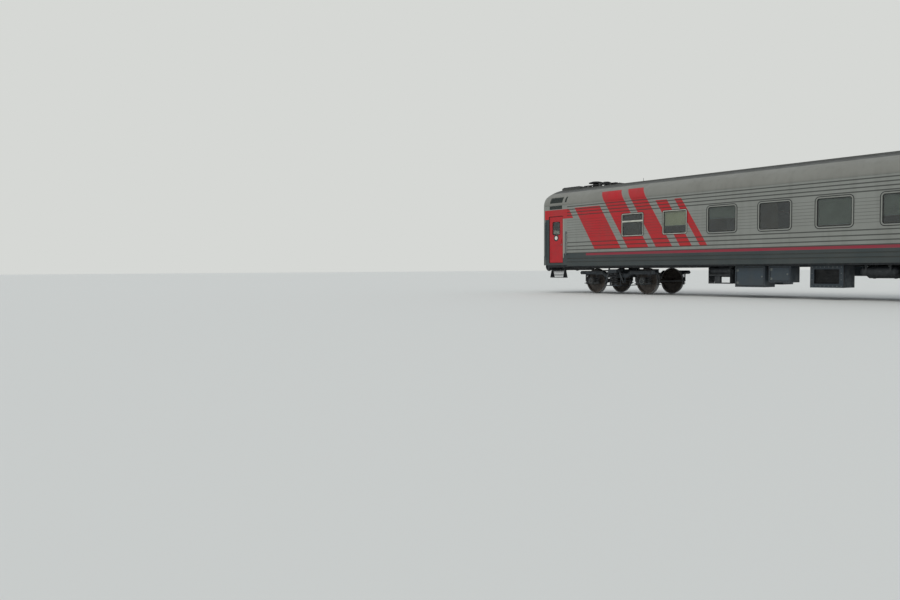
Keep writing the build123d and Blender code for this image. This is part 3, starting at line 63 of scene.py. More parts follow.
FLANGE, END_WALL = 0.028, 0.060
DOOR_X, DOOR_FACE = 11.287, SIDE_Y - 0.020
DOOR_WIDTH, DOOR_HEIGHT, DOOR_FOOT = 0.770, 1.920, 0.012
DOOR_WINDOW_WIDTH, DOOR_WINDOW_HEIGHT, DOOR_WINDOW_CORNER = 0.400, 0.520, 0.050
DOOR_WINDOW_Z = FLOOR_Z + 1.440
DOOR_PLATE_Z, DOOR_PLATE_RADIUS = FLOOR_Z + 1.045, 0.095
END_DOOR_WIDTH, END_DOOR_HEIGHT, END_DOOR_FACE = 0.780, 1.900, BODY_END - 0.008
FRAME_PROUD, PANE_SETBACK = 0.006, 0.026
SHOULDER_Y, SHOULDER_HEIGHT, SHOULDER_RADIUS = 1.073, 3.580, 0.480
CROWN_HEIGHT, CROWN_RADIUS = 4.360, 2.549


def above_rail(height):
    """A height over the rail head, as a Z of the model."""
    return FLANGE + height


# The photograph's viewpoint: place, turns in radians, lens for a 36 mm wide sensor
CAMERA_PLACE = (10.4744, -24.258, above_rail(0.9491))
CAMERA_YAW, CAMERA_PITCH, CAMERA_ROLL = -0.9046, -0.04, -0.006
CAMERA_LENS = 749.83 / 900 * 36


# Nodes, colours and masks


def linear(code):
    """An sRGB hex colour as linear red, green, blue and alpha."""
    channels = [int(code[i:i + 2], 16) / 255 for i in (1, 3, 5)]
    return tuple(c / 12.92 if c <= 0.04045 else ((c + 0.055) / 1.055) ** 2.4 for c in channels) + (1.0,)


def add(tree, kind, *values, out=0, named=None, **settings):
    """Adds a node with its settings, sets or links its inputs by place or name, and returns one output.
    A list of sockets goes into an input that takes several."""
    made = tree.nodes.new(kind)
    for name, value in settings.items():
        setattr(made, name, value)
    for key, value in [*enumerate(values), *(named or {}).items()]:
        for each in value if isinstance(value, list) else [value]:
            if isinstance(each, bpy.types.NodeSocket):
                tree.links.new(each, made.inputs[key])
            elif each is not None:
                made.inputs[key].default_value = each
    return made.outputs[out] if made.outputs else made


def object_place(tree):
    """The place on the object along X, Y and Z."""
    return add(tree, "ShaderNodeSeparateXYZ", add(tree, "ShaderNodeTexCoord", out=3)).node.outputs


def clouds(tree, wide, detail, stretch=(1, 1, 1)):
    """Noise this many millimetres wide, drawn out along the axes that are scaled down."""
    place = add(tree, "ShaderNodeMapping", add(tree, "ShaderNodeTexCoord", out=3), named={"Scale": stretch})
    return add(tree, "ShaderNodeTexNoise", named={"Vector": place, "Scale": 1000.0 / wide, "Detail": detail})


def masking(grow):
    """Lets a mask be described by its values first, and grow in a tree later."""
    return lambda *values, **settings: lambda tree: grow(tree, *values, **settings)


@masking
def patches(tree, wide, share=1.0, low=0.42, high=0.72, stretch=(1, 1, 1), least=0.0):
    """Cloudy patches about this many millimetres wide, where the noise lies over the low and high values."""
    return add(tree, "ShaderNodeMapRange", clouds(tree, wide, 4.0, stretch), low, high, least, share)


@masking
def fade(tree, axis, start, end, at_start=0.0, at_end=1.0):
    """Runs between two places along X, Y or Z, or between two distances from the middle along |X| or |Y|."""
    place = object_place(tree)[axis.strip("|")]
    if "|" in axis:
        place = add(tree, "ShaderNodeMath", place, operation="ABSOLUTE")
    return add(tree, "ShaderNodeMapRange", place, start, end, at_start, at_end)


@masking
def both(tree, first, second):
    """Where two masks lie."""
    return add(tree, "ShaderNodeMath", first(tree), second(tree), operation="MULTIPLY")


@masking
def round_about(tree, folds, z, start, end):
    """Runs between two radii about an axis across the coach. The axis lies at each place that the folds give:
    (a,) is x = a and -a, and (a, b) is also b before and behind each of those."""
    along, _, up = object_place(tree)
    for fold in folds:
        along = add(tree, "ShaderNodeMath", along, operation="ABSOLUTE")
        along = add(tree, "ShaderNodeMath", along, fold, operation="SUBTRACT")
    rise = add(tree, "ShaderNodeMath", up, z, operation="SUBTRACT")
    offset = add(tree, "ShaderNodeCombineXYZ", along, rise)
    away = add(tree, "ShaderNodeVectorMath", offset, operation="LENGTH", out=1)
    return add(tree, "ShaderNodeMapRange", away, start, end)


@masking
def painted(tree, *shapes):
    """Convex outlines on the sides, each anticlockwise along the coach and over the rail head."""
    edge, found = 0.003, None
    x, _, z = object_place(tree)
    for corners in shapes:
        depth = None
        for (x0, z0), (x1, z1) in zip(corners, corners[1:] + corners[:1]):
            length = math.hypot(x1 - x0, z1 - z0)
            nx, nz = (z0 - z1) / length, (x1 - x0) / length
            along = add(tree, "ShaderNodeMath", x, nx, -nx * x0 - nz * above_rail(z0),
                        operation="MULTIPLY_ADD")
            inward = add(tree, "ShaderNodeMath", z, nz, along, operation="MULTIPLY_ADD")
            depth = inward if depth is None else add(tree, "ShaderNodeMath", depth, inward,
                                                     operation="MINIMUM")
        found = depth if found is None else add(tree, "ShaderNodeMath", found, depth, operation="MAXIMUM")
    return add(tree, "ShaderNodeMapRange", found, -edge, edge)


def layered(tree, base, *coats):
    """A colour that starts from a base and takes each coat where its mask lies. A mask that is given as plain
    numbers is made of patches."""
    found = linear(base)
    for coat, *how in coats:
        mask = how[0] if callable(how[0]) else patches(*how)
        found = add(tree, "ShaderNodeMix", named={0: mask(tree), 6: found, 7: linear(coat)}, out=2,
                    data_type="RGBA")
    return found


def uneven(tree, low, high, wide=60):
    """A roughness that wanders between two values, as polish, film and handling leave it."""
    return patches(wide, high, 0.3, 0.7, least=low)(tree)


def rippled(tree, wide, deep, strength):
    """A bump of this many millimetres' width and depth."""
    return add(tree, "ShaderNodeBump", strength, deep / 1000.0, named={"Height": clouds(tree, wide, 3.0)})


def material(name, colour, roughness, ripple=None, **sockets):
    """A surface. Its colour is a hex code or (base, coats...), its roughness one value or (low, high, width)
    and its ripple (width, depth, strength)."""
    made = bpy.data.materials.new(name)
    made.use_nodes = True
    tree = made.node_tree
    tree.nodes.clear()
    named = {title.replace("_", " "): value for title, value in sockets.items()}
    named["Base Color"] = linear(colour) if isinstance(colour, str) else layered(tree, *colour)
    named["Roughness"] = uneven(tree, *roughness) if isinstance(roughness, tuple) else roughness
    if ripple:
        named["Normal"] = rippled(tree, *ripple)
    add(tree, "ShaderNodeOutputMaterial", add(tree, "ShaderNodeBsdfPrincipled", named=named))
    return made


# Livery: a plain band and slanted bars of falling width, along the coach and over the rail head


def bar(x0, x1, z0, z1, lean=0.0):
    """A parallelogram of paint that moves along by its lean for each metre that it rises."""
    shift = lean * (z1 - z0)
    return ((x0, z0), (x1, z0), (x1 + shift, z1), (x0 + shift, z1))


SKIRT_FOOT, SKIRT_TOP, SKIRT_STEP_TOP = 0.90, 1.50, 1.60
PANEL_TOP, TOP_STRIPE_TOP, DOOR_TOP, BODY_EDGE = 3.35, 3.45, 3.02, 12.0
BAR_FOOT, BAR_HEAD, BAR_HIGH_HEAD, LEAN = 1.72, 3.42, 3.96, -0.62
# First and last x at the foot, and the height of the head. Two bars go on over the roof's shoulder.
BARS = [bar(first, last, BAR_FOOT, head, LEAN) for first, last, head in (
    (-9.20, -7.90, BAR_HEAD), (-7.58, -6.63, BAR_HIGH_HEAD), (-6.31, -5.61, BAR_HIGH_HEAD),
    (-5.29, -4.81, BAR_HEAD), (-4.49, -4.21, BAR_HEAD))]
DOOR_BAND = ((-11.94, DOOR_TOP), (-10.326, DOOR_TOP), (-10.56, 3.40), (-11.94, 3.40))
STRIPE = bar(-9.65, 8.30, SKIRT_TOP, SKIRT_STEP_TOP)
RISE = ((8.05, SKIRT_TOP), (8.47, SKIRT_TOP), (9.82, TOP_STRIPE_TOP), (9.40, TOP_STRIPE_TOP))
TOP_STRIPE = bar(9.40, 11.98, PANEL_TOP, TOP_STRIPE_TOP)
SKIRT = bar(-BODY_EDGE, BODY_EDGE, SKIRT_FOOT, SKIRT_TOP)
SKIRT_STEP = bar(-BODY_EDGE, -9.65, SKIRT_FOOT, SKIRT_STEP_TOP)
END_PANEL = ((8.47, SKIRT_TOP), (11.98, SKIRT_TOP), (11.98, PANEL_TOP), (9.75, PANEL_TOP))
DOOR_STRIP = bar(-11.90, -11.665, SKIRT_FOOT, DOOR_TOP)
DOOR_POST = bar(-10.885, -10.850, 1.42, DOOR_TOP)
END_POST = bar(-BODY_EDGE, -11.90, SKIRT_FOOT, DOOR_TOP)

BODY_GREY, ROOF_GREY, BODY_DARK = "#878a85", "#80817b", "#2e393b"
SIGNAL_RED, STRIPE_RED, POST_GREY, LINING = "#b2101b", "#8f1a33", "#a09f92", "#7f725e"

# Traffic film in broad clouds, thin rain streaks, and road dust that thickens towards the skirt
WEATHER = (
    ("#56554e", 900, 0.16, 0.35, 0.75), ("#434139", 160, 0.16, 0.5, 0.8, (1.0, 1.0, 0.06)),
    ("#5a5a54", both(fade("Z", above_rail(1.05), above_rail(1.95), 0.22, 0.0),
                     patches(420, 1.0, 0.3, 0.7, least=0.25))))
# Painted shade along the grooves of the ribbed sheet, with the dirt that stays in them: the set-back faces
# are darkened as shade would darken them
GROOVE_SHADE_AND_DIRT = ("#3a3d39", fade("|Y|", SIDE_Y - 0.0005, SIDE_Y - 0.006, 0.0, 0.80))


# Materials, each named for the real one and how its surface was made. A coat's numbers are its patches' width
# in millimetres, their share, and the noise's low and high values. A ripple's are width, depth and strength.

# Air-dried alkyd enamel on ribbed sheet: half gloss, with a film of road dirt that dulls it in patches.
# The sprayed skin's 2 mm ripple is too fine to show, and is drawn at 12 mm.
ENAMEL_SKIN = (12, 0.15, 0.35)
# One of the sides' coats is the painted shade in the grooves
side_enamel = material("alkyd_enamel_sides", (
    BODY_GREY, (SIGNAL_RED, painted(DOOR_BAND, *BARS, RISE, TOP_STRIPE)),
    (BODY_DARK, painted(SKIRT, SKIRT_STEP, END_PANEL, DOOR_STRIP)), (STRIPE_RED, painted(STRIPE)),
    (POST_GREY, painted(DOOR_POST, END_POST)), *WEATHER, GROOVE_SHADE_AND_DIRT,
    (LINING, fade("|Y|", SIDE_INNER_Y + 0.003, SIDE_INNER_Y + 0.002))), (0.34, 0.55, 300), ENAMEL_SKIN)
# The roof's enamel chalks sooner, and soot and water leave its crown dark
roof_enamel = material("alkyd_enamel_roof", (
    ROOF_GREY, (SIGNAL_RED, painted(*BARS)), ("#474946", fade("|Y|", SHOULDER_Y + 0.004, SHOULDER_Y - 0.004)),
    *WEATHER), (0.45, 0.65, 300), ENAMEL_SKIN)
end_enamel = material("alkyd_enamel_ends", (
    BODY_GREY, (BODY_DARK, fade("Z", above_rail(SKIRT_TOP + 0.003), above_rail(SKIRT_TOP - 0.003))), *WEATHER,
    (LINING, fade("|X|", BODY_END - END_WALL + 0.002, BODY_END - END_WALL + 0.001))),
    (0.4, 0.6, 250), ENAMEL_SKIN)
# The round plates under the doors' windows are white enamel on a dark ground
PLATE_COATS = [
    (colour, both(round_about((DOOR_X,), DOOR_PLATE_Z, DOOR_PLATE_RADIUS + outer, DOOR_PLATE_RADIUS + inner),
                  fade("|Y|", DOOR_FACE + behind, DOOR_FACE + before)))
    for colour, outer, inner, behind, before in (
        ("#2a2b2c", 0.045, 0.041, -0.004, -0.003), ("#dcdcd6", -0.015, -0.017, -0.001, 0.001))]
red_enamel = material("alkyd_enamel_red_door", (SIGNAL_RED, ("#8c1d22", 300, 0.45), *PLATE_COATS),
                      (0.32, 0.5), ENAMEL_SKIN)
dark_enamel = material("alkyd_enamel_dark_door", (BODY_DARK, ("#4e5552", 300, 0.4), *PLATE_COATS),
                       (0.36, 0.55), ENAMEL_SKIN)
grey_enamel = material("alkyd_enamel_grey_door", (BODY_GREY, ("#6a6a63", 200, 0.5)), (0.36, 0.55),
                       ENAMEL_SKIN)
# Powder-coated aluminium section, finer than the sheet around it; the two nearest the left end are paler
frame_coat = material("powder_coated_aluminium", (
    "#878a84", ("#c6c7bb", both(fade("X", -4.60, -4.61), fade("Y", -1.0, -1.001))), ("#74766f", 160, 0.5)),
    (0.35, 0.5))
# Bitumen-based chassis paint: nearly black, chalked by brake dust and winter road film
CASTING_SKIN = (6, 0.8, 0.8)
CHASSIS_COATS = ("#25292d", ("#4a4c4c", 120, 0.5))
chassis_paint = material("chassis_paint", CHASSIS_COATS, (0.5, 0.8, 80), CASTING_SKIN)
# The same paint on the steps, which shoes wear through at the lower tread's toe
step_paint = material("step_chassis_paint", (
    *CHASSIS_COATS, ("#676b6b", both(fade("|Y|", 1.484, 1.492), patches(90, 1.0, 0.3, 0.6, least=0.3)))),
    (0.4, 0.75, 80), CASTING_SKIN)
truck_paint = material("truck_chassis_paint", (
    "#282f34", ("#4d5156", 150, 0.5, 0.40), ("#4a433b", 45, 0.3, 0.60, 0.80)), (0.5, 0.8, 80), CASTING_SKIN)
roof_paint = material("roof_fitting_paint", ("#131517", ("#303232", 120, 0.35)), (0.5, 0.8, 80), CASTING_SKIN)
# Slate-blue equipment enamel on pressed sheet, its doors a little lighter where they are wiped
SLATE, SLATE_FILM = "#2b353d", ("#40433f", 220, 0.4, 0.42, 0.75)
slate_enamel = material("slate_equipment_enamel", (
    SLATE, ("#38444d", fade("|Y|", 1.333, 1.331, 0.0, 0.8)), SLATE_FILM,
    ("#4a4a45", both(fade("Z", above_rail(0.36), above_rail(0.75), 0.4, 0.0), patches(200, 1.0, 0.3, 0.7)))),
    (0.42, 0.62, 120), ENAMEL_SKIN)
# Inside the cooler's mouth the faces are painted near black: painted shade in the recess
cooler_enamel = material("slate_cooler_enamel", (
    SLATE, SLATE_FILM, ("#101315", both(fade("Y", -1.325, -1.315), fade("Y", -1.240, -1.248)))),
    (0.42, 0.7, 120), ENAMEL_SKIN)
# Cast steel of axle boxes and couplers: sandy skin under thin paint, rust at the edges
cast_steel = material("cast_steel_painted", (
    "#282c2f", ("#4f463d", 70, 0.5, 0.46, 0.75), ("#5a5c5c", 200, 0.4, 0.5, 0.75)), (0.55, 0.85, 50),
    CASTING_SKIN)
spring_paint = material("spring_steel_painted", ("#2a2d31", ("#4d4c4a", 60, 0.5)), (0.45, 0.7, 40))
# Hydraulic damper: glossier oil-filmed enamel
damper_paint = material("damper_enamel", ("#33383c", ("#5a564e", 40, 0.5, 0.5, 0.75)), (0.3, 0.55, 40))
# Extruded rubber with a dry bloom, and the gangways' moulded rubber
seal_rubber = material("epdm_rubber_seal", ("#16181a", ("#2e2f2f", 60, 0.5)), (0.6, 0.8, 40))
gangway_rubber = material("moulded_gangway_rubber", (
    "#1b1c1d", ("#3c3c3a", 150, 0.5), ("#55544e", 90, 0.3, 0.6, 0.85, (1, 1, 0.15))), (0.6, 0.85, 80),
    (25, 1.5, 0.6))
# Zinc-plated fasteners: dull, spangled grey metal
zinc_plate = material("zinc_plated_steel", ("#757a78", ("#54504a", 12, 0.6, 0.5, 0.75)), (0.4, 0.6, 8),
                      Metallic=0.7)
# Stoved enamel of the handrails and grilles
rail_enamel = material("handrail_enamel", ("#5f6567", ("#43494a", 60, 0.5)), (0.35, 0.6, 30))
grille_enamel = material("grille_enamel", ("#3a423f", ("#555a56", 60, 0.5)), (0.5, 0.7, 40))
# Galvanised conduit and brake pipe under dust
pipe_steel = material("galvanised_pipe", ("#4b4f50", ("#33312d", 80, 0.7, 0.4, 0.7)), (0.45, 0.7, 30),
                      Metallic=0.5)
# Open steel tread, polished by shoes in its middle
tread_steel = material("worn_step_steel", ("#3b4043", ("#5c6062", 60, 0.6, 0.45, 0.7)), (0.4, 0.7, 30),
                       Metallic=0.3)
# Forged wheel steel: brown dusty web and rim, with a tread that block and rail keep bright
wheel_steel = material("forged_wheel_steel", (
    "#38332f", ("#575049", 90, 1.0, 0.4, 0.7),
    ("#8b8b8c", round_about((TRUCK_X, HALF_BASE), AXLE_Z, 0.4705, 0.4725))), (0.35, 0.6, 40), Metallic=0.4)
# Toughened glass with a faint grey-green body, and a film of dust that lifts its roughness a little
tinted_glass = material("tinted_toughened_glass", ("#c9d0cb", ("#aeb2aa", 300, 0.35, 0.45, 0.8)),
                        (0.0, 0.02, 200), Transmission_Weight=0.97, IOR=1.5)
red_glass = material("pressed_red_lens", ("#a01018", ("#6c0c12", 30, 0.5, 0.4, 0.7)), 0.12, (8, 0.6, 0.4),
                     Coat_Weight=0.6)
# Decorative laminate, beech brown with a faint cloud, and satin enamel on the ceiling
wall_laminate = material("laminate_wall_panel", ("#8b7c66", ("#76684f", 140, 0.4)), (0.35, 0.5, 90))
ceiling_enamel = material("ceiling_enamel", ("#a9a79e", ("#96948a", 200, 0.4)), (0.45, 0.6, 90))
# Mottled linoleum on a floor of sheet steel, whose underside has the chassis paint
UNDER_FLOOR = fade("Z", FLOOR_Z - 0.004, FLOOR_Z - 0.006)
linoleum = material("linoleum_floor", (
    "#6b5442", ("#4f3f33", 12, 0.7), ("#2b3033", UNDER_FLOOR),
    ("#4a4a46", both(UNDER_FLOOR, patches(260, 0.5)))), (0.35, 0.55, 30))
# Coated upholstery cloth: leather-like grain of 3 mm, dull sheen on the edges
berth_vinyl = material("berth_vinyl", ("#70362f", ("#582a25", 120, 0.4)), (0.4, 0.55, 20), (3, 0.3, 0.5),
                       Sheen_Weight=0.15)
plywood = material("lacquered_plywood", ("#8a6a44", ("#6f5233", 40, 1.0, 0.35, 0.7, (1, 1, 12))),
                   (0.3, 0.45, 50))
anodised = material("anodised_aluminium", ("#8f9290", ("#777a78", 30, 0.5, 0.4, 0.7, (0.1, 1, 1))),
                    (0.3, 0.42, 20), Metallic=0.9)
# Uncoated pasteboard, blank, a little yellowed
pasteboard = material("uncoated_pasteboard", ("#d8d2ca", ("#c8c1b8", 60, 0.4)), (0.7, 0.85, 40))
# Woven blind cloth: its 1 mm weave is too fine to show, and is drawn at 6 mm
blind_cloth, pale_blind_cloth = [
    material(name, (base, (worn, 80, 0.4)), (0.8, 0.9, 30), (6, 0.2, 0.4), Sheen_Weight=0.2)
    for name, base, worn in (("roller_blind_cloth", "#7d857c", "#6c736b"),
                             ("pale_roller_blind_cloth", "#ece9c6", "#d5d2ae"))]


# Geometry trees for what repeats or follows a path


def open_tree(name, **kinds):
    """A geometry tree and what it is given: places, named sizes and a surface, in this order."""
    tree = bpy.data.node_groups.new(name, "GeometryNodeTree")
    tree.interface.new_socket("Geometry", in_out="OUTPUT", socket_type="NodeSocketGeometry")
    for title, kind in {"places": "Geometry", **kinds, "surface": "Material"}.items():
        tree.interface.new_socket(title, in_out="INPUT", socket_type="NodeSocket" + kind)
    return tree, *[socket for socket in add(tree, "NodeGroupInput").node.outputs if socket.name]


def close_tree(tree, surface, shape, stops=None, turn=None):
    """Sets a shape on each of the stops, if any, and ends a tree in real geometry with its surface."""
    if stops:
        shape = add(tree, "GeometryNodeInstanceOnPoints", stops, named={"Instance": shape, "Rotation": turn})
    real = add(tree, "GeometryNodeRealizeInstances", shape)
    add(tree, "NodeGroupOutput", add(tree, "GeometryNodeSetMaterial", real, named={"Material": surface}))
    return tree


def tube(tree, line, radius, sides):
    """A bar of round section along a curve, closed at its ends."""
    section = add(tree, "GeometryNodeCurvePrimitiveCircle", named={"Resolution": sides, "Radius": radius})
    return add(tree, "GeometryNodeCurveToMesh", line, section, named={"Fill Caps": True})


def spring_tree():
    """A coil spring with closed ends standing on each place."""
    tree, places, turns, radius, wire, height, surface = open_tree(
        "coil_springs", turns="Float", coil_radius="Float", wire_radius="Float", height="Float")
    spiral = add(tree, "GeometryNodeCurveSpiral", named={
        "Resolution": 18, "Rotations": turns, "Start Radius": radius, "End Radius": radius, "Height": height})
    closed = add(tree, "ShaderNodeMath", 0.75, turns, operation="DIVIDE")
    opened = add(tree, "ShaderNodeMath", 1.0, closed, operation="SUBTRACT")
    top = add(tree, "ShaderNodeMath", height, wire, operation="SUBTRACT")
    rise = add(tree, "ShaderNodeMapRange", add(tree, "GeometryNodeSplineParameter"), closed, opened,
               wire, top)
    place = add(tree, "ShaderNodeSeparateXYZ", add(tree, "GeometryNodeInputPosition")).node
    line = add(tree, "GeometryNodeSetPosition", spiral, named={
        "Position": add(tree, "ShaderNodeCombineXYZ", place.outputs[0], place.outputs[1], rise)})
    return close_tree(tree, surface, tube(tree, line, wire, 8), places)


def bolt_tree():
    """A hexagon head on its washer at each place, standing out the way that the place faces."""
    tree, places, radius, height, surface = open_tree(
        "hexagon_bolts", head_radius="Float", head_height="Float")
    washer_radius = add(tree, "ShaderNodeMath", radius, 1.4, operation="MULTIPLY")
    washer_height = add(tree, "ShaderNodeMath", height, 0.5, operation="MULTIPLY")
    rise = add(tree, "ShaderNodeMath", height, 0.75, operation="MULTIPLY")
    head = add(tree, "GeometryNodeMeshCylinder", named={"Vertices": 6, "Radius": radius, "Depth": height})
    head = add(tree, "GeometryNodeTransform", head, named={
        "Translation": add(tree, "ShaderNodeCombineXYZ", 0.0, 0.0, rise)})
    washer = add(tree, "GeometryNodeMeshCylinder", named={
        "Vertices": 12, "Radius": washer_radius, "Depth": washer_height})
    way = add(tree, "GeometryNodeInputNamedAttribute", "facing", data_type="FLOAT_VECTOR")
    turn = add(tree, "FunctionNodeAlignRotationToVector", named={"Vector": way}, axis="Z")
    return close_tree(tree, surface, add(tree, "GeometryNodeJoinGeometry", [head, washer]), places, turn)


def bead_tree():
    """A round bead along the edges."""
    tree, places, radius, sides, surface = open_tree("round_beads", radius="Float", sides="Int")
    return close_tree(tree, surface, tube(tree, add(tree, "GeometryNodeMeshToCurve", places), radius, sides))


def pipe_tree():
    """A pipe along the edges with rounded bends, and a collar every so far."""
    tree, places, radius, bend, spacing, surface = open_tree(
        "pipes_with_collars", radius="Float", bend="Float", spacing="Float")
    line = add(tree, "GeometryNodeFilletCurve", add(tree, "GeometryNodeMeshToCurve", places), named={
        "Radius": bend, "Limit Radius": True, "Count": 5}, mode="POLY")
    stops = add(tree, "GeometryNodeCurveToPoints", line, named={"Length": spacing}, mode="LENGTH").node
    collar_radius = add(tree, "ShaderNodeMath", radius, 1.3, operation="MULTIPLY")
    collar = add(tree, "GeometryNodeMeshCylinder", named={
        "Vertices": 12, "Radius": collar_radius, "Depth": radius})
    collars = add(tree, "GeometryNodeInstanceOnPoints", stops.outputs["Points"], named={
        "Instance": collar, "Rotation": stops.outputs["Rotation"]})
    pipe = tube(tree, line, radius, 12)
    return close_tree(tree, surface, add(tree, "GeometryNodeJoinGeometry", [pipe, collars]))


def rim_screw_tree():
    """Low round screw heads every so far along the edges, all facing one way."""
    tree, places, spacing, radius, facing, surface = open_tree(
        "rim_screws", spacing="Float", head_radius="Float", facing="Vector")
    stops = add(tree, "GeometryNodeCurveToPoints", add(tree, "GeometryNodeMeshToCurve", places),
                named={"Length": spacing}, mode="LENGTH")
    crown = add(tree, "ShaderNodeMath", radius, 0.5, operation="MULTIPLY")
    head = add(tree, "GeometryNodeMeshCone", named={
        "Vertices": 10, "Radius Top": crown, "Radius Bottom": radius, "Depth": crown})
    turn = add(tree, "FunctionNodeAlignRotationToVector", named={"Vector": facing}, axis="Z")
    return close_tree(tree, surface, head, stops, turn)


def slat_tree():
    """A flat bar of one size at each place."""
    tree, places, size, surface = open_tree("flat_bars", size="Vector")
    return close_tree(tree, surface, add(tree, "GeometryNodeMeshCube", size), places)


springs, bolts, beads, pipes, rim_screws, slats = (
    spring_tree(), bolt_tree(), bead_tree(), pipe_tree(), rim_screw_tree(), slat_tree())


# Making and placing meshes


def placed(name, data):
    """A new object in the scene."""
    made = bpy.data.objects.new(name, data)
    bpy.context.scene.collection.objects.link(made)
    return made


def mesh_of(bm, name):
    """The mesh that a bmesh draws. The bmesh goes."""
    mesh = bpy.data.meshes.new(name)
    bm.to_mesh(mesh)
    bm.free()
    return mesh


def settle(mesh, name, body="coach", crease=35):
    """Puts a mesh in the scene at the origin, smooth between its creases, and lets it ride on a body."""
    mesh.name = name
    mesh.shade_smooth()
    mesh.set_sharp_from_angle(angle=math.radians(crease))
    piece = placed(name, mesh)
    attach(piece, body)
    return piece


def shaped(bm, name, surface, body="coach", crease=35):
    """A piece from shapes drawn into a bmesh, with its faces turned outwards."""
    bmesh.ops.recalc_face_normals(bm, faces=bm.faces)
    mesh = mesh_of(bm, name)
    mesh.materials.append(surface)
    return settle(mesh, name, body, crease)


def evaluated_copy(holder):
    """What an object's modifiers make of it, as a plain mesh. The object itself goes."""
    graph = bpy.context.evaluated_depsgraph_get()
    mesh = bpy.data.meshes.new_from_object(holder.evaluated_get(graph), depsgraph=graph)
    seed = holder.data
    bpy.data.objects.remove(holder)
    bpy.data.meshes.remove(seed)
    return mesh


def grown(name, tree, surface, places, slot, body="coach", edges=(), facings=None, **sizes):
    """Runs a tree over places and edges, and keeps the result as a plain mesh that rides on a body."""
    seed = bpy.data.meshes.new(name + "_places")
    seed.from_pydata([tuple(place) for place in places], list(edges), [])
    if facings:
        seed.attributes.new("facing", "FLOAT_VECTOR", "POINT").data.foreach_set(
            "vector", [part for way in facings for part in way])
    holder = placed(name + "_places", seed)
    modifier = holder.modifiers.new("growth", "NODES")
    modifier.node_group = tree
    wanted = {"surface": surface, **sizes}
    for item in tree.interface.items_tree:
        if item.in_out == "INPUT" and item.name in wanted:
            modifier[item.identifier] = wanted[item.name]
    return settle(evaluated_copy(holder), name, body)


def strung(lines, closed=False):
    """The places and edges of several lines, for a tree that runs along edges."""
    places, edges = [], []
    for line in lines:
        first = len(places)
        places.extend(line)
        edges.extend((first + k, first + k + 1) for k in range(len(line) - 1))
        if closed:
            edges.append((len(places) - 1, first))
    return {"places": places, "edges": edges}


def beaded(name, surface, lines, radius, slot="bellows_rubber", sides=8, closed=True, body="coach"):
    """A round bead along each of several lines."""
    grown(name, beads, surface, **strung(lines, closed), slot=slot, body=body, radius=radius, sides=sides)


def bolted(name, rows, slot, radius, height, body="coach"):
    """A bolt at each pair of a place and the way that it faces."""
    places, facings = zip(*rows)
    grown(name, bolts, zinc_plate, places, slot, body, facings=facings, head_radius=radius,
          head_height=height)


def screwed(name, side, lines, slot, spacing, radius):
    """Round screw heads every so far along closed lines on a side."""
    grown(name, rim_screws, zinc_plate, **strung(lines, True), slot=slot, spacing=spacing, head_radius=radius,
          facing=(0.0, side, 0.0))


def piped(name, surface, lines, slot, radius, bend, spacing, body="coach"):
    """A pipe with bends and collars along each of several lines."""
    grown(name, pipes, surface, **strung(lines), slot=slot, body=body, radius=radius, bend=bend,
          spacing=spacing)


def circle(count, radius, turn=0.0):
    """Offsets to points round a circle, the first one turned by a share of a step."""
    angles = [math.tau * (k + turn) / count for k in range(count)]
    return [(radius * math.cos(angle), radius * math.sin(angle)) for angle in angles]


def rim(u, z, width, height, corner, depth, across=False, steps=5):
    """Points round an upright rectangle with rounded corners, on a side, or across an end."""
    points = []
    for k, (su, sz) in enumerate(((1, 1), (-1, 1), (-1, -1), (1, -1))):
        for i in range(steps + 1):
            angle = math.radians(90 * (k + i / steps))
            a = u + su * (width / 2 - corner) + corner * math.cos(angle)
            b = z + sz * (height / 2 - corner) + corner * math.sin(angle)
            points.append((depth, a, b) if across else (a, depth, b))
    return points


def sheet_into(bm, columns, rows, place):
    """A sheet of faces whose points are placed by two shares from 0 to 1, and its lines of points."""
    lines = [[bm.verts.new(place(i / columns, j / rows)) for j in range(rows + 1)]
             for i in range(columns + 1)]
    for a, b in zip(lines, lines[1:]):
        for j in range(rows):
            bm.faces.new((a[j], b[j], b[j + 1], a[j + 1]))
    return lines


def box_into(bm, low, high, edge):
    """A block between two corners, its edges broken."""
    low, high = [Vector(map(pick, low, high)) for pick in (min, max)]
    made = bmesh.ops.create_cube(bm, size=1.0, matrix=Matrix.Translation((low + high) / 2)
                                 @ Matrix.Diagonal((*(high - low), 1)))
    edges = list({e for v in made["verts"] for e in v.link_edges})
    bmesh.ops.bevel(bm, geom=edges, offset=edge, segments=1, affect="EDGES")


def turned_into(bm, foot, way, *profile, sides=16):
    """A turned shape: pairs of radius and distance from the foot along a direction, closed at both ends."""
    turn = Vector(way).to_track_quat("Z", "Y").to_matrix()
    rings = [[bm.verts.new(Vector(foot) + turn @ Vector((x, y, distance))) for x, y in circle(sides, radius)]
             for radius, distance in profile]
    for a, b in zip(rings, rings[1:]):
        for i in range(sides):
            bm.faces.new((a[i - 1], a[i], b[i], b[i - 1]))
    bm.faces.new(rings[0][::-1])
    bm.faces.new(rings[-1])


def rod_into(bm, start, end, radius, sides=12):
    """A round rod between two points, its ends chamfered."""
    way = Vector(end) - Vector(start)
    long, chamfer = way.length, radius * 0.15
    turned_into(bm, start, way, (radius - chamfer, 0), (radius, chamfer), (radius, long - chamfer),
                (radius - chamfer, long), sides=sides)


def solids_of(name):
    """The boxes of a node's separate solids."""
    bm = bmesh.new()
    bm.from_mesh(cad[name].data)
    bmesh.ops.remove_doubles(bm, verts=bm.verts, dist=1e-5)
    left, boxes = set(bm.verts), []
    while left:
        waiting, found = [left.pop()], []
        while waiting:
            vertex = waiting.pop()
            found.append(vertex.co.copy())
            for edge in vertex.link_edges:
                other = edge.other_vert(vertex)
                if other in left:
                    left.remove(other)
                    waiting.append(other)
        boxes.append((Vector(map(min, zip(*found))), Vector(map(max, zip(*found)))))
    bm.free()
    return sorted(boxes, key=lambda box: tuple(round(c, 4) for c in box[0]))


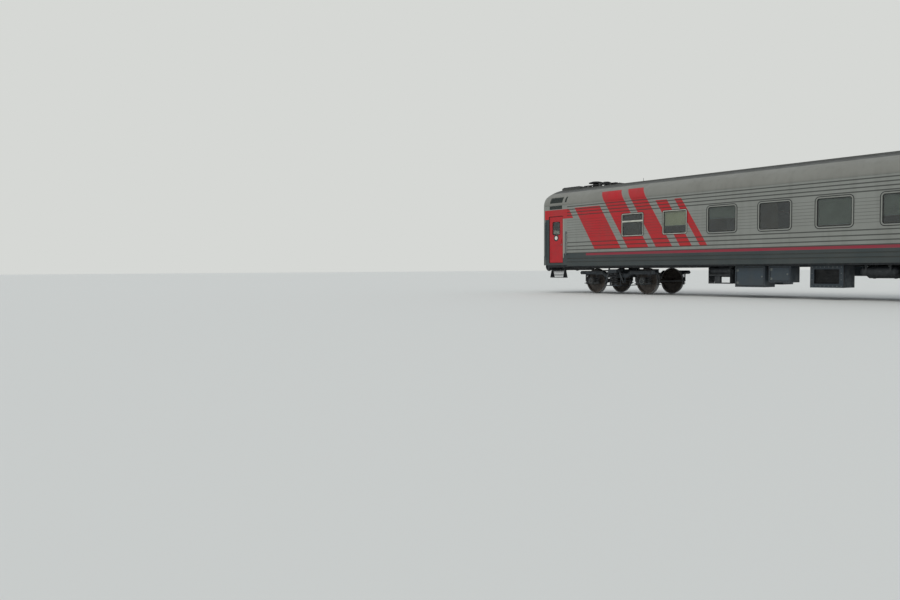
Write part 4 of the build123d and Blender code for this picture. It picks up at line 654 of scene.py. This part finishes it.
# Finishes of the carried-over solids: a node takes the one whose entry is the longest beginning of its name

FINISHES = (
    (side_enamel, "side_wall"), (roof_enamel, "roof"), (roof_paint, "roof_"), (end_enamel, "end_wall"),
    (frame_coat, "window_frames"), (tinted_glass, "window_panes end_door_pane side_door_pane"),
    (dark_enamel, "side_door"), (red_enamel, "side_door_near_left side_door_far_left"),
    (grey_enamel, "end_door"), (grille_enamel, "air_grilles"), (rail_enamel, "handrails"),
    (gangway_rubber, "gangway"), (step_paint, "entrance_steps"), (slate_enamel, "equipment_cabinets"),
    (cooler_enamel, "cooling_unit"),
    (chassis_paint, "underframe air_tanks bridge_plates buffers brake_rack tail_lamps"),
    (truck_paint, "truck"), (cast_steel, "couplers axle_boxes brakes"), (spring_paint, "springs"),
    (wheel_steel, "wheelset"), (wall_laminate, "vestibule_walls corridor_wall compartment_walls"),
    (ceiling_enamel, "ceiling"), (linoleum, "floor"), (berth_vinyl, "lower_berths upper_berths"),
    (plywood, "tables"),
)
finish_of = {beginning: surface for surface, beginnings in FINISHES for beginning in beginnings.split()}
for name, node in cad.items():
    node.data.materials.clear()
    node.data.materials.append(finish_of[max(filter(name.startswith, finish_of), key=len)])


# Windows: rubber outside and inside each frame, its screws, and the blinds


def windows(side):
    """The windows of a side as (x, z, width, height, corner, frame width), read from the frames' solids."""
    rows = []
    for low, high in solids_of("window_frames"):
        if low.y * side > 0:
            width, height = high.x - low.x, high.z - low.z
            corner, frame_width = (0.120, 0.046) if width > 1.05 else (0.060, 0.030)
            rows.append(((low.x + high.x) / 2, (low.z + high.z) / 2, width, height, corner, frame_width))
    return rows


def make_window_trim(side, side_name):
    outer, inner, middle = [], [], []
    outset, inset = 0.005, 0.008
    face, pane = side * (SIDE_Y + FRAME_PROUD), side * (SIDE_Y + FRAME_PROUD - PANE_SETBACK + 0.006)
    for x, z, width, height, corner, band in windows(side):
        outer.append(rim(x, z, width + 2 * outset, height + 2 * outset, corner + outset,
                         side * (SIDE_Y + 0.003)))
        inner.append(rim(x, z, width - 2 * (band + inset), height - 2 * (band + inset),
                         max(corner - band - inset / 2, 0.012), pane))
        middle.append(rim(x, z, width - band, height - band, corner - band / 2, face))
    beaded(f"window_outer_seals_{side_name}", seal_rubber, outer, 0.012)
    beaded(f"window_glazing_seals_{side_name}", seal_rubber, inner, 0.014)
    screwed(f"window_frame_screws_{side_name}", side, middle, "rail_steel", 0.24, 0.006)


# Windows that have a blind, counted from the left end, with the share of the opening that it covers
BLIND_SHARES = {
    "near": {1: 0.64, 2: 0.45, 4: 0.92, 5: 0.70, 7: 0.55},
    "far": {1: 0.30, 3: 0.85, 5: 0.50, 6: 0.95, 8: 0.40},
}


def hang_blind(name, x, top, width, drop, depth, cloth):
    """A sheet of blind cloth with a slight belly and curled long edges."""
    curled, bellied = 0.004, 0.002

    def place(across, down):
        u = across * 2 - 1
        curl = curled * u**4 * math.sin(math.pi * down) + bellied * math.sin(5 * down + 2 * u)
        return x + u * width / 2, depth - math.copysign(curl, depth), top - down * drop

    bm = bmesh.new()
    sheet_into(bm, 14, 18, place)
    sheet = shaped(bm, name, cloth, crease=80)


def make_blinds():
    """Rollers with foot rails, and the blinds' cloth."""
    behind_wall, side_gap, head_gap, roller = 0.038, 0.015, 0.012, 0.018
    rails = bmesh.new()
    hung = []
    for side, side_name in SIDES:
        y = side * (SIDE_INNER_Y + behind_wall)
        rows = [row for row in windows(side) if row[3] > 0.8 and abs(row[0]) < 8]
        for k, share in BLIND_SHARES[side_name].items():
            x, z, width, height, _, band = rows[k]
            top, cloth_width = z + height / 2 - band - head_gap, width - 2 * band - 2 * side_gap
            drop, half = share * (height - 2 * band), cloth_width / 2
            turned_into(rails, (x - half, y, top + 0.010), (1, 0, 0), (0.010, 0), (roller, 0.004),
                        (roller, cloth_width - 0.004), (0.010, cloth_width))
            box_into(rails, (x - half, y - 0.006, top - drop - 0.012),
                     (x + half, y + 0.006, top - drop + 0.004), 0.002)
            hung.append((f"blind_{side_name}_{k + 1}", x, top, cloth_width, drop, y,
                         pale_blind_cloth if (side_name, k) == ("near", 1) else blind_cloth))
    shaped(rails, "blind_rollers", anodised)
    for row in hung:
        hang_blind(*row)


# Doors: seals, gaskets, plate rims, locks and a card


def seal_door(name, body, u, width, height, face, across=False):
    """Rubber round a door's leaf and round its window."""
    inset, outset = 0.010, 0.006
    beaded(name, seal_rubber, (
        rim(u, FLOOR_Z + DOOR_FOOT + height / 2, width - 2 * inset, height - 2 * inset, 0.020, face, across),
        rim(u, DOOR_WINDOW_Z, DOOR_WINDOW_WIDTH + 2 * outset, DOOR_WINDOW_HEIGHT + 2 * outset,
            DOOR_WINDOW_CORNER + outset, face, across)), 0.007, body=body)


def make_side_door_trim(side, side_name, end, end_name):
    body, x, face = f"side_door_{side_name}_{end_name}_body", end * DOOR_X, side * DOOR_FACE
    seal_door(f"side_door_seals_{side_name}_{end_name}", body, x, DOOR_WIDTH, DOOR_HEIGHT, face)
    ring = [(x + dx, face + side * 0.003, DOOR_PLATE_Z + dz) for dx, dz in circle(28, DOOR_PLATE_RADIUS)]
    beaded(f"side_door_plate_rim_{side_name}_{end_name}", seal_rubber, [ring], 0.004,
           "rail_steel", 6, body=body)
    bm = bmesh.new()
    lock_x, lock_z = x - end * (DOOR_WIDTH / 2 - 0.090), FLOOR_Z + 0.76
    turned_into(bm, (lock_x, face - side * 0.002, lock_z), (0, side, 0), (0.026, 0), (0.026, 0.005),
                (0.022, 0.008), (0.011, 0.008), (0.011, 0.003), sides=20)
    box_into(bm, (lock_x - 0.004, face, lock_z - 0.008),
             (lock_x + 0.004, face + side * 0.007, lock_z + 0.008), 0.001)
    shaped(bm, f"side_door_lock_{side_name}_{end_name}", zinc_plate, body)


def make_door_card():
    """A blank card with rounded corners, its edges held in a rail round three sides, inside the foot of the
    near left door's window."""
    body, pane_back = "side_door_near_left_body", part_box("side_door_pane_near_left")[1].y
    foot, half, height = DOOR_WINDOW_Z - DOOR_WINDOW_HEIGHT / 2 + 0.018, 0.175, 0.150
    card = bmesh.new()
    front, back = [[card.verts.new(point) for point in
                    rim(-DOOR_X, foot + height / 2, 2 * half, height, 0.012, pane_back + depth)]
                   for depth in (0.002, 0.004)]
    for k in range(len(front)):
        card.faces.new((front[k], front[k - 1], back[k - 1], back[k]))
    card.faces.new(front)
    card.faces.new(back[::-1])
    shaped(card, "door_card", pasteboard, body)
    holder = bmesh.new()
    for x0, x1, z1 in ((-half - 0.006, half + 0.006, 0.010), (-half - 0.006, -half + 0.008, 0.155),
                       (half - 0.008, half + 0.006, 0.155)):
        box_into(holder, (-DOOR_X + x0, pane_back, foot - 0.008),
                 (-DOOR_X + x1, pane_back + 0.006, foot + z1), 0.001)
    shaped(holder, "door_card_holder", anodised, body)


# Gangways: moulding ridges round the rubber arch and the clamp at its root


def arch_line(end, inset, reach, steps=7):
    """An open arch across an end, this far inside the rubber's outline and this far out from the body."""
    half, top, corner = 0.740 - inset, FLOOR_Z + 2.130 - inset, 0.360 - inset
    x, foot = end * (BODY_END + reach), FLOOR_Z + 0.034
    points = [(x, -half, foot)]
    for side, start in ((-1, 180), (1, 90)):
        for i in range(steps + 1):
            angle = math.radians(start - 90 * i / steps)
            points.append((x, side * (half - corner) + corner * math.cos(angle),
                           top - corner + corner * math.sin(angle)))
    return points + [(x, half, foot)]


def make_gangway_ridges(end, end_name):
    """Ridges, each with its inset and reach, and the clamp."""
    ridges = [arch_line(end, *place) for place in (
        (0.000, 0.124), (0.000, 0.147), (0.000, 0.170), (0.200, 0.124), (0.200, 0.170),
        (0.075, 0.238), (0.100, 0.238), (0.125, 0.238))]
    beaded(f"gangway_ridges_{end_name}", gangway_rubber, ridges, 0.007, closed=False)
    beaded(f"gangway_clamp_{end_name}", zinc_plate, [arch_line(end, 0.020, 0.052)], 0.012,
           "chassis_steel", closed=False)


# Ends: lamp lenses and buffer bolts


def make_lamp_lenses():
    lenses, rims = bmesh.new(), bmesh.new()
    for low, high in solids_of("tail_lamps"):
        end = math.copysign(1, low.x)
        middle = (high.x if end > 0 else low.x, (low.y + high.y) / 2, (low.z + high.z) / 2)
        radius = (high.y - low.y) / 2
        turned_into(lenses, middle, (end, 0, 0), (radius - 0.014, -0.002), (radius - 0.014, 0.006),
                    (radius - 0.024, 0.013), (radius - 0.042, 0.018), (0.012, 0.020), sides=28)
        turned_into(rims, middle, (end, 0, 0), (radius, -0.004), (radius + 0.003, 0.000),
                    (radius + 0.003, 0.006), (radius - 0.004, 0.010), (radius - 0.013, 0.008),
                    (radius - 0.013, 0.002), sides=28)
    shaped(lenses, "tail_lamp_lenses", red_glass, crease=50)
    shaped(rims, "tail_lamp_rims", zinc_plate)


def make_buffer_bolts():
    flange, buffer_y, buffer_height, bolt_circle = 0.022, 0.890, 1.080, 0.140
    rows = [((end * (BODY_END + flange), side * buffer_y + dy, above_rail(buffer_height) + dz), (end, 0, 0))
            for end in BOTH for side in BOTH for dy, dz in circle(4, bolt_circle, 0.5)]
    bolted("buffer_bolts", rows, "chassis_steel", 0.017, 0.013)


# Handrail rosettes and step cleats


def make_rail_rosettes():
    bm = bmesh.new()
    for low, high in solids_of("handrails"):
        side = math.copysign(1, low.y)
        for z in (low.z + 0.060, high.z - 0.060):
            turned_into(bm, ((low.x + high.x) / 2, side * (SIDE_Y - 0.002), z), (0, side, 0), (0.034, 0),
                        (0.034, 0.006), (0.028, 0.010), (0.015, 0.010), sides=20)
    shaped(bm, "handrail_rosettes", rail_enamel)


def make_step_cleats():
    """Five rows of twelve short bars on each tread, every other row set over by half a pitch."""
    pitch, treads = 0.056, ((0.612, 1.490, 1.300), (0.892, 1.420, 1.320))
    places = [(end * DOOR_X + (i - 5.5) * pitch + (pitch / 4 if j % 2 else -pitch / 4),
               side * (back + (toe - back) * j / 4), above_rail(top))
              for end in BOTH for side in BOTH for top, toe, back in treads
              for i in range(12) for j in range(5)]
    grown("step_cleats", slats, tread_steel, places, "chassis_steel", size=(0.030, 0.008, 0.006))


# Roof: weld seams, fixings and an aerial


def roof_line(x, steps=9):
    """A line over the roof from gutter to gutter, along the shoulders' and the crown's arcs."""
    low, base = above_rail(SHOULDER_HEIGHT), above_rail(CROWN_HEIGHT) - CROWN_RADIUS
    meet = math.atan2(low - base, SHOULDER_Y)
    shoulder = [(x, SHOULDER_Y + SHOULDER_RADIUS * math.cos(meet * i / steps),
                 low + SHOULDER_RADIUS * math.sin(meet * i / steps)) for i in range(steps + 1)]
    angles = [meet + (math.pi - 2 * meet) * i / (2 * steps) for i in range(1, 2 * steps)]
    crown = [(x, CROWN_RADIUS * math.cos(angle), base + CROWN_RADIUS * math.sin(angle)) for angle in angles]
    return shoulder + crown + [(x, -y, z) for _, y, z in reversed(shoulder)]


def make_roof_trim():
    seams, aerial_foot = (-8.6, -4.55, -0.5, 3.55, 7.6), (-8.058, 0, above_rail(4.352))
    up, rows, rings = (0, 0, 1), [], []
    beaded("roof_weld_seams", roof_enamel, map(roof_line, seams), 0.004, "roof_paint", 6, closed=False)
    for low, high in solids_of("roof_vents"):
        x, radius = (low.x + high.x) / 2, (high.x - low.x) / 2
        rows += [((x + dx, dy, low.z + 0.016), up) for dx, dy in circle(8, radius * 0.47, 0.5)]
        rings.append([(x + dx, dy, high.z - 0.048) for dx, dy in circle(36, radius - 0.001)])
    for low, high in solids_of("roof_housings"):
        inset = (high.z - low.z) + 0.030
        rows += [((low.x + inset + (high.x - low.x - 2 * inset) * k / 6, side * (high.y - inset), high.z), up)
                 for k in range(7) for side in BOTH]
    bolted("roof_bolts", rows, "chassis_steel", 0.010, 0.008)
    beaded("roof_vent_rims", roof_paint, rings, 0.006, "chassis_steel")
    aerial = bmesh.new()
    turned_into(aerial, aerial_foot, up, (0.045, 0), (0.045, 0.014), (0.030, 0.026), (0.012, 0.030),
                (0.008, 0.060), (0.006, 0.150), (0.003, 0.161))
    shaped(aerial, "roof_aerial", roof_paint)


# Underfloor equipment: doors' hinges and locks, screws, bolts, conduits and their hangers


def make_cabinet_fittings():
    door_pitch, margin, recess = 0.70, 0.045, 0.014
    hinges, gaskets, screws = bmesh.new(), [], {-1: [], 1: []}
    for low, high in solids_of("equipment_cabinets"):
        side = math.copysign(1, low.y)
        face = high.y if side > 0 else low.y
        panel = face - side * recess
        doors = max(1, round((high.x - low.x) / door_pitch))
        pitch = (high.x - low.x) / doors
        z0, z1 = low.z + margin, high.z - margin
        middle, height = (z0 + z1) / 2, z1 - z0
        for k in range(doors):
            x0, x1 = low.x + k * pitch + margin, low.x + (k + 1) * pitch - margin
            x, width, hinge_x, lock_x = (x0 + x1) / 2, x1 - x0, x0 + 0.016, x1 - 0.060
            gaskets.append(rim(x, middle, width - 0.014, height - 0.014, 0.012, panel, steps=3))
            screws[side].append(rim(x, middle, width + 0.050, height + 0.050, 0.010, face, steps=1))
            for z in (z0 + 0.16 * height, z1 - 0.16 * height):
                pin_y = panel + side * 0.006
                rod_into(hinges, (hinge_x, pin_y, z - 0.045), (hinge_x, pin_y, z + 0.045), 0.009)
                box_into(hinges, (hinge_x, panel - side * 0.001, z - 0.035),
                         (x0 + 0.075, panel + side * 0.004, z + 0.035), 0.001)
            turned_into(hinges, (lock_x, panel - side * 0.001, middle), (0, side, 0), (0.030, 0),
                        (0.030, 0.004), (0.024, 0.008), (0.012, 0.008), (0.012, 0.014), (0.009, 0.016),
                        sides=18)
            box_into(hinges, (lock_x - 0.006, panel + side * 0.006, middle - 0.045),
                     (lock_x + 0.006, panel + side * 0.013, middle + 0.012), 0.002)
    shaped(hinges, "cabinet_hinges_and_locks", zinc_plate)
    beaded("cabinet_door_gaskets", seal_rubber, gaskets, 0.006, sides=6)
    for side, side_name in SIDES:
        screwed(f"cabinet_screws_{side_name}", side, screws[side], "cabinet_paint", 0.20, 0.008)


def make_equipment_bolts():
    """Bolts round the cooler's mouth, on the brake rack's plates and on the tanks' straps."""
    places, near = [], (0, -1, 0)
    low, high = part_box("cooling_unit")
    x0, x1, z0, z1 = low.x + 0.060, high.x - 0.060, low.z + 0.050, high.z - 0.050
    places += [((x0 + (x1 - x0) * k / 7, low.y, z), near) for k in range(8) for z in (z0, z1)]
    places += [((x, low.y, z0 + (z1 - z0) * k / 3), near) for k in (1, 2) for x in (x0, x1)]
    low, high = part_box("brake_rack")
    places += [((x - way * 0.070, low.y + dy, z), (way, 0, 0)) for x, way in ((low.x, -1), (high.x, 1))
               for dy in (0.08, 0.32, 0.56) for z in (high.z - 0.035, high.z - 0.120)]
    low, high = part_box("air_tanks")
    places += [((low.x + (high.x - low.x) * share + dx, low.y + 0.012, high.z - 0.040), near)
               for share in (0.2, 0.8) for dx in (-0.018, 0.018)]
    bolted("equipment_bolts", places, "cabinet_paint", 0.011, 0.009)


# Runs of conduit under the sides: side, first x, last x. Conduits: distance from the middle, height, radius.
CONDUIT_RUNS = ((-1, -10.62, -4.36), (-1, 4.55, 10.62), (1, -10.62, -3.90), (1, 4.29, 10.62))
CONDUITS = {"broad": (1.310, 1.046, 0.022), "slim": (1.236, 1.004, 0.018)}
# A hanger's plates: first y and height, last y and height
HANGER_PLATES = ((1.331, 1.013, 1.337, 1.139), (1.214, 0.976, 1.337, 0.983), (1.331, 0.976, 1.337, 1.020),
                 (1.212, 0.976, 1.217, 1.139))
HANGER_PITCH, HALF_HANGER, BOLSTER_REACH = 0.85, 0.018, 0.23


def make_conduits():
    for title, (y, height, radius) in CONDUITS.items():
        lines = []
        for side, x0, x1 in CONDUIT_RUNS:
            far, near = (x0, x1) if x0 < 0 else (x1, x0)
            turn, z = math.copysign(0.10, far), above_rail(height)
            lines.append([(far, side * (y - 0.30), z), (far, side * (y - 0.05), z), (far - turn, side * y, z),
                          (near, side * y, z)])
        piped(f"conduits_{title}", pipe_steel, lines, "chassis_steel", radius, 0.08, 0.62)
    bm = bmesh.new()
    for side, x0, x1 in CONDUIT_RUNS:
        start, way = (x1 - 0.25, -1) if x0 < 0 else (x0 + 0.25, 1)
        for k in range(math.ceil((x1 - x0 - 0.3) / HANGER_PITCH)):
            x = start + way * k * HANGER_PITCH
            if abs(abs(x) - TRUCK_X) > BOLSTER_REACH:
                for y0, z0, y1, z1 in HANGER_PLATES:
                    box_into(bm, (x - HALF_HANGER, side * y0, above_rail(z0)),
                             (x + HALF_HANGER, side * y1, above_rail(z1)), 0.001)
    shaped(bm, "conduit_hangers", chassis_paint)


# Trucks: coil springs, dampers, cover bolts and brake pipes


def make_truck_pieces(end, end_name):
    body, middle = f"truck_{end_name}", end * TRUCK_X
    axles = [(middle + turn * HALF_BASE, side) for turn in BOTH for side in BOTH]

    box_spring_y, box_spring_foot, body_spring_y, body_spring_foot = 1.0165, 0.402, 1.235, 0.325
    box_places = [(axle + dx, side * box_spring_y, above_rail(box_spring_foot)) for axle, side in axles
                  for dx in (-0.265, 0.265)]
    body_places = [(middle + dx, side * body_spring_y, above_rail(body_spring_foot)) for side in BOTH
                   for dx in (-0.100, 0.100)]
    seats = bmesh.new()
    for title, places, turns, coil_radius, wire_radius, height, seat_radius in (
            ("box", box_places, 5.5, 0.064, 0.015, 0.338, 0.079),
            ("body", body_places, 6.5, 0.071, 0.016, 0.475, 0.087)):
        coils = grown(f"{title}_spring_coils_{end_name}", springs, spring_paint, places, "spring_steel", body,
                      turns=turns, coil_radius=coil_radius, wire_radius=wire_radius, height=height)
        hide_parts(f"springs_{end_name}")
        for x, y, z in places:
            for foot, way in ((z, 1), (z + height, -1)):
                turned_into(seats, (x, y, foot), (0, 0, way), (seat_radius, 0), (seat_radius, 0.010),
                            (0.046, 0.013), (0.042, 0.030), (0.030, 0.032), sides=20)
    seats = shaped(seats, f"spring_seats_{end_name}", truck_paint, body)
    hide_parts(f"springs_{end_name}")

    dampers, damper_y = bmesh.new(), 1.205
    for turn in BOTH:
        for side in BOTH:
            foot, head = [Vector((middle + turn * dx, side * damper_y, above_rail(height)))
                          for dx, height in ((0.430, 0.430), (0.236, 0.870))]
            way, long = head - foot, (head - foot).length
            tubes = [(radius, share * long) for radius, share in (
                (0.016, 0.13), (0.024, 0.13), (0.027, 0.14), (0.027, 0.45), (0.031, 0.45), (0.033, 0.46),
                (0.033, 0.86), (0.026, 0.88), (0.017, 0.89))]
            turned_into(dampers, foot, way, (0.013, 0.028), (0.016, 0.030), *tubes, (0.016, long - 0.028),
                        (0.013, long - 0.026), sides=18)
            for eye in (foot, head):
                turned_into(dampers, eye - Vector((0, 0.018, 0)), (0, 1, 0), (0.026, 0), (0.030, 0.003),
                            (0.030, 0.033), (0.026, 0.036), sides=20)
    dampers = shaped(dampers, f"dampers_{end_name}", damper_paint, body)
    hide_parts(f"springs_{end_name}")

    cover_y, cover_circle, frame_y, pipe_y = 1.152, 0.090, 1.108, 1.118
    rows = [((axle + dx, side * cover_y, AXLE_Z + dz), (0, side, 0)) for axle, side in axles
            for dx, dz in circle(8, cover_circle, 0.5)]
    rows += [((middle + turn * dx, side * frame_y, above_rail(z)), (0, side, 0)) for side in BOTH
             for turn in BOTH for dx in (0.70, 1.70) for z in (0.850, 0.790)]
    bolted(f"truck_bolts_{end_name}", rows, "cast_steel", 0.012, 0.010, body)

    caps = bmesh.new()
    for axle, side in axles:
        turned_into(caps, (axle, side * (cover_y - 0.002), AXLE_Z), (0, side, 0), (0.060, 0), (0.060, 0.007),
                    (0.052, 0.011), (0.018, 0.012), (0.018, 0.018), (0.014, 0.020), sides=24)
    shaped(caps, f"axle_cover_caps_{end_name}", cast_steel, body)

    bends = ((1.62, 0.770), (1.62, 0.858), (0.72, 0.858), (0.60, 0.735), (0.46, 0.735))
    lines = [[(middle + turn * dx, side * pipe_y, above_rail(z)) for dx, z in bends]
             for side in BOTH for turn in BOTH]
    piped(f"truck_brake_pipes_{end_name}", pipe_steel, lines, "chassis_steel", 0.010, 0.05, 0.30, body)


# Inside: berths with foam cushions, and the corridor's handrail


def foam_cushion(width, length, height):
    """A cushion's mesh about its middle, blown up in cloth over a cut that starts smaller, and the ring
    of its seam."""
    columns, rows, inset, cap, frames = 8, 20, 0.028, 0.012, 20
    low, high, bulge = 0.10 * height, 0.80 * height, 0.016

    def flat_sheet(bm, z):
        return sheet_into(bm, columns, rows, lambda u, v: (
            (u - 0.5) * (width - 2 * inset), (v - 0.5) * (length - 2 * inset), z))

    def edge_of(grid):
        return (grid[0][:-1] + [line[-1] for line in grid[:-1]] + grid[-1][:0:-1]
                + [line[0] for line in grid[:0:-1]])

    bm = bmesh.new()
    bottom, top = flat_sheet(bm, 0.0), flat_sheet(bm, high)
    rings = [edge_of(bottom)]
    for z in (low, high - low):
        rings.append([bm.verts.new((v.co.x * (1 + bulge / width), v.co.y * (1 + bulge / length), z))
                      for v in rings[0]])
    rings.append(edge_of(top))
    for a, b in zip(rings, rings[1:]):
        for k in range(len(a)):
            bm.faces.new((a[k], a[k - 1], b[k - 1], b[k]))
    bmesh.ops.recalc_face_normals(bm, faces=bm.faces)
    bm.verts.index_update()
    seam = [v.index for v in rings[2]]
    mesh = mesh_of(bm, "cushion_cut")
    start = [v.co.copy() for v in mesh.vertices]
    pad = placed("cushion_cut", mesh)
    cloth = pad.modifiers.new("foam", "CLOTH")
    cloth.settings.use_pressure = True
    cloth.settings.uniform_pressure_force = 4.0
    cloth.settings.effector_weights.gravity = 0.0
    scene = bpy.context.scene
    for step in range(1, frames + 1):
        scene.frame_set(step)
    graph = bpy.context.evaluated_depsgraph_get()
    moves = [v.co - p for v, p in zip(pad.evaluated_get(graph).data.vertices, start)]
    end = [p + (move * (cap / move.length) if move.length > cap else move)
           for p, move in zip(start, moves)]
    pad.modifiers.remove(cloth)
    scene.frame_set(1)
    for vertex, place in zip(mesh.vertices, end):
        vertex.co = (place.x, place.y, max(place.z, 0.0))
    ring = [mesh.vertices[k].co.copy() for k in seam]
    rounding = pad.modifiers.new("round", "SUBSURF")
    rounding.levels = rounding.render_levels = 1
    return evaluated_copy(pad), ring


def make_berths():
    piping = []
    for title, thickness in (("lower", 0.100), ("upper", 0.066)):
        boxes = solids_of(f"{title}_berths")
        size = boxes[0][1] - boxes[0][0]
        foam, ring = foam_cushion(size.x - 0.010, size.y - 0.020, thickness)
        foam.materials.clear()
        foam.materials.append(berth_vinyl)
        base = bmesh.new()
        for k, (low, high) in enumerate(boxes):
            seat = high.z - thickness
            box_into(base, low, (high.x, high.y, seat), 0.006)
            box_into(base, (low.x + 0.002, low.y - 0.004, seat - 0.030),
                     (high.x - 0.002, low.y + 0.004, seat + 0.004), 0.003)
            shift = Matrix.Translation(((low.x + high.x) / 2, (low.y + high.y) / 2, seat))
            mesh = foam.copy()
            mesh.transform(shift)
            cushion = settle(mesh, f"{title}_cushion_{k + 1}", crease=80)
            piping.append([shift @ point for point in ring])
        base = shaped(base, f"{title}_berth_boxes", plywood)
        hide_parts(f"{title}_berths")
    beaded("berth_piping", berth_vinyl, piping, 0.004, "berth_fabric", 6)


def make_corridor_rail():
    wall_y, z, reach, half, brackets = -SIDE_INNER_Y, FLOOR_Z + 0.960, 0.055, 9.0, 11
    line = [(x, wall_y + reach, z) for x in (-half - 0.1, half + 0.1)]
    piped("corridor_handrail", anodised, [line], "rail_steel", 0.016, 0.01, 0.92)
    bm = bmesh.new()
    for k in range(brackets):
        x = -half + 2 * half * k / (brackets - 1)
        rod_into(bm, (x, wall_y + reach, z), (x, wall_y + 0.004, z), 0.009)
        turned_into(bm, (x, wall_y, z), (0, 1, 0), (0.026, 0), (0.026, 0.005), (0.018, 0.009))
    shaped(bm, "corridor_rail_brackets", anodised)


for side, side_name in SIDES:
    make_window_trim(side, side_name)
    for end, end_name in ENDS:
        make_side_door_trim(side, side_name, end, end_name)
for end, end_name in ENDS:
    seal_door(f"end_door_seals_{end_name}", f"end_door_{end_name}_body", 0, END_DOOR_WIDTH, END_DOOR_HEIGHT,
              end * END_DOOR_FACE, across=True)
    make_gangway_ridges(end, end_name)
    make_truck_pieces(end, end_name)
make_door_card()
make_blinds()
make_lamp_lenses()
make_buffer_bolts()
make_rail_rosettes()
make_step_cleats()
make_roof_trim()
make_cabinet_fittings()
make_equipment_bolts()
make_conduits()
make_berths()
make_corridor_rail()


# Studio

STAGE_SIZE = 400.0
FLOOR_COLOUR, SKY_COLOUR = "#dfe1df", "#d6d8d5"


def build_stage():
    """A pale floor under a pale even sky, with one broad soft lamp."""
    bm = bmesh.new()
    bmesh.ops.create_grid(bm, x_segments=1, y_segments=1, size=STAGE_SIZE)
    mesh = mesh_of(bm, "studio_floor")
    mesh.materials.append(material("studio_floor", FLOOR_COLOUR, 0.85))
    ground = placed("studio_floor", mesh)

    world = bpy.data.worlds.new("studio_sky")
    world.use_nodes = True
    tree = world.node_tree
    tree.nodes.clear()
    lit = add(tree, "ShaderNodeBackground", linear("#dfe3e6"), 0.80)
    seen = add(tree, "ShaderNodeBackground", linear(SKY_COLOUR), 1.0)
    rays = add(tree, "ShaderNodeLightPath")
    add(tree, "ShaderNodeOutputWorld", add(tree, "ShaderNodeMixShader", rays, lit, seen))
    bpy.context.scene.world = world

    lamp = bpy.data.lights.new("soft_key", "SUN")
    lamp.energy = 0.9
    lamp.angle = math.radians(40)
    lamp.color = linear("#fffaf2")[:3]
    placed("soft_key", lamp).rotation_euler = (math.radians(48), 0, math.radians(25))


def build_camera():
    """The photograph's viewpoint: low beside the line, looking along the coach."""
    camera = bpy.data.cameras.new("photo_camera")
    camera.lens = CAMERA_LENS
    camera.sensor_width = 36
    camera.clip_end = 1000
    rig = placed("photo_camera", camera)
    turn = (Matrix.Rotation(-CAMERA_YAW, 4, "Z") @ Matrix.Rotation(math.pi / 2 + CAMERA_PITCH, 4, "X")
            @ Matrix.Rotation(CAMERA_ROLL, 4, "Z"))
    rig.matrix_world = Matrix.Translation(CAMERA_PLACE) @ turn
    bpy.context.scene.camera = rig


build_stage()
build_camera()
bpy.context.scene.view_settings.view_transform = "Standard"
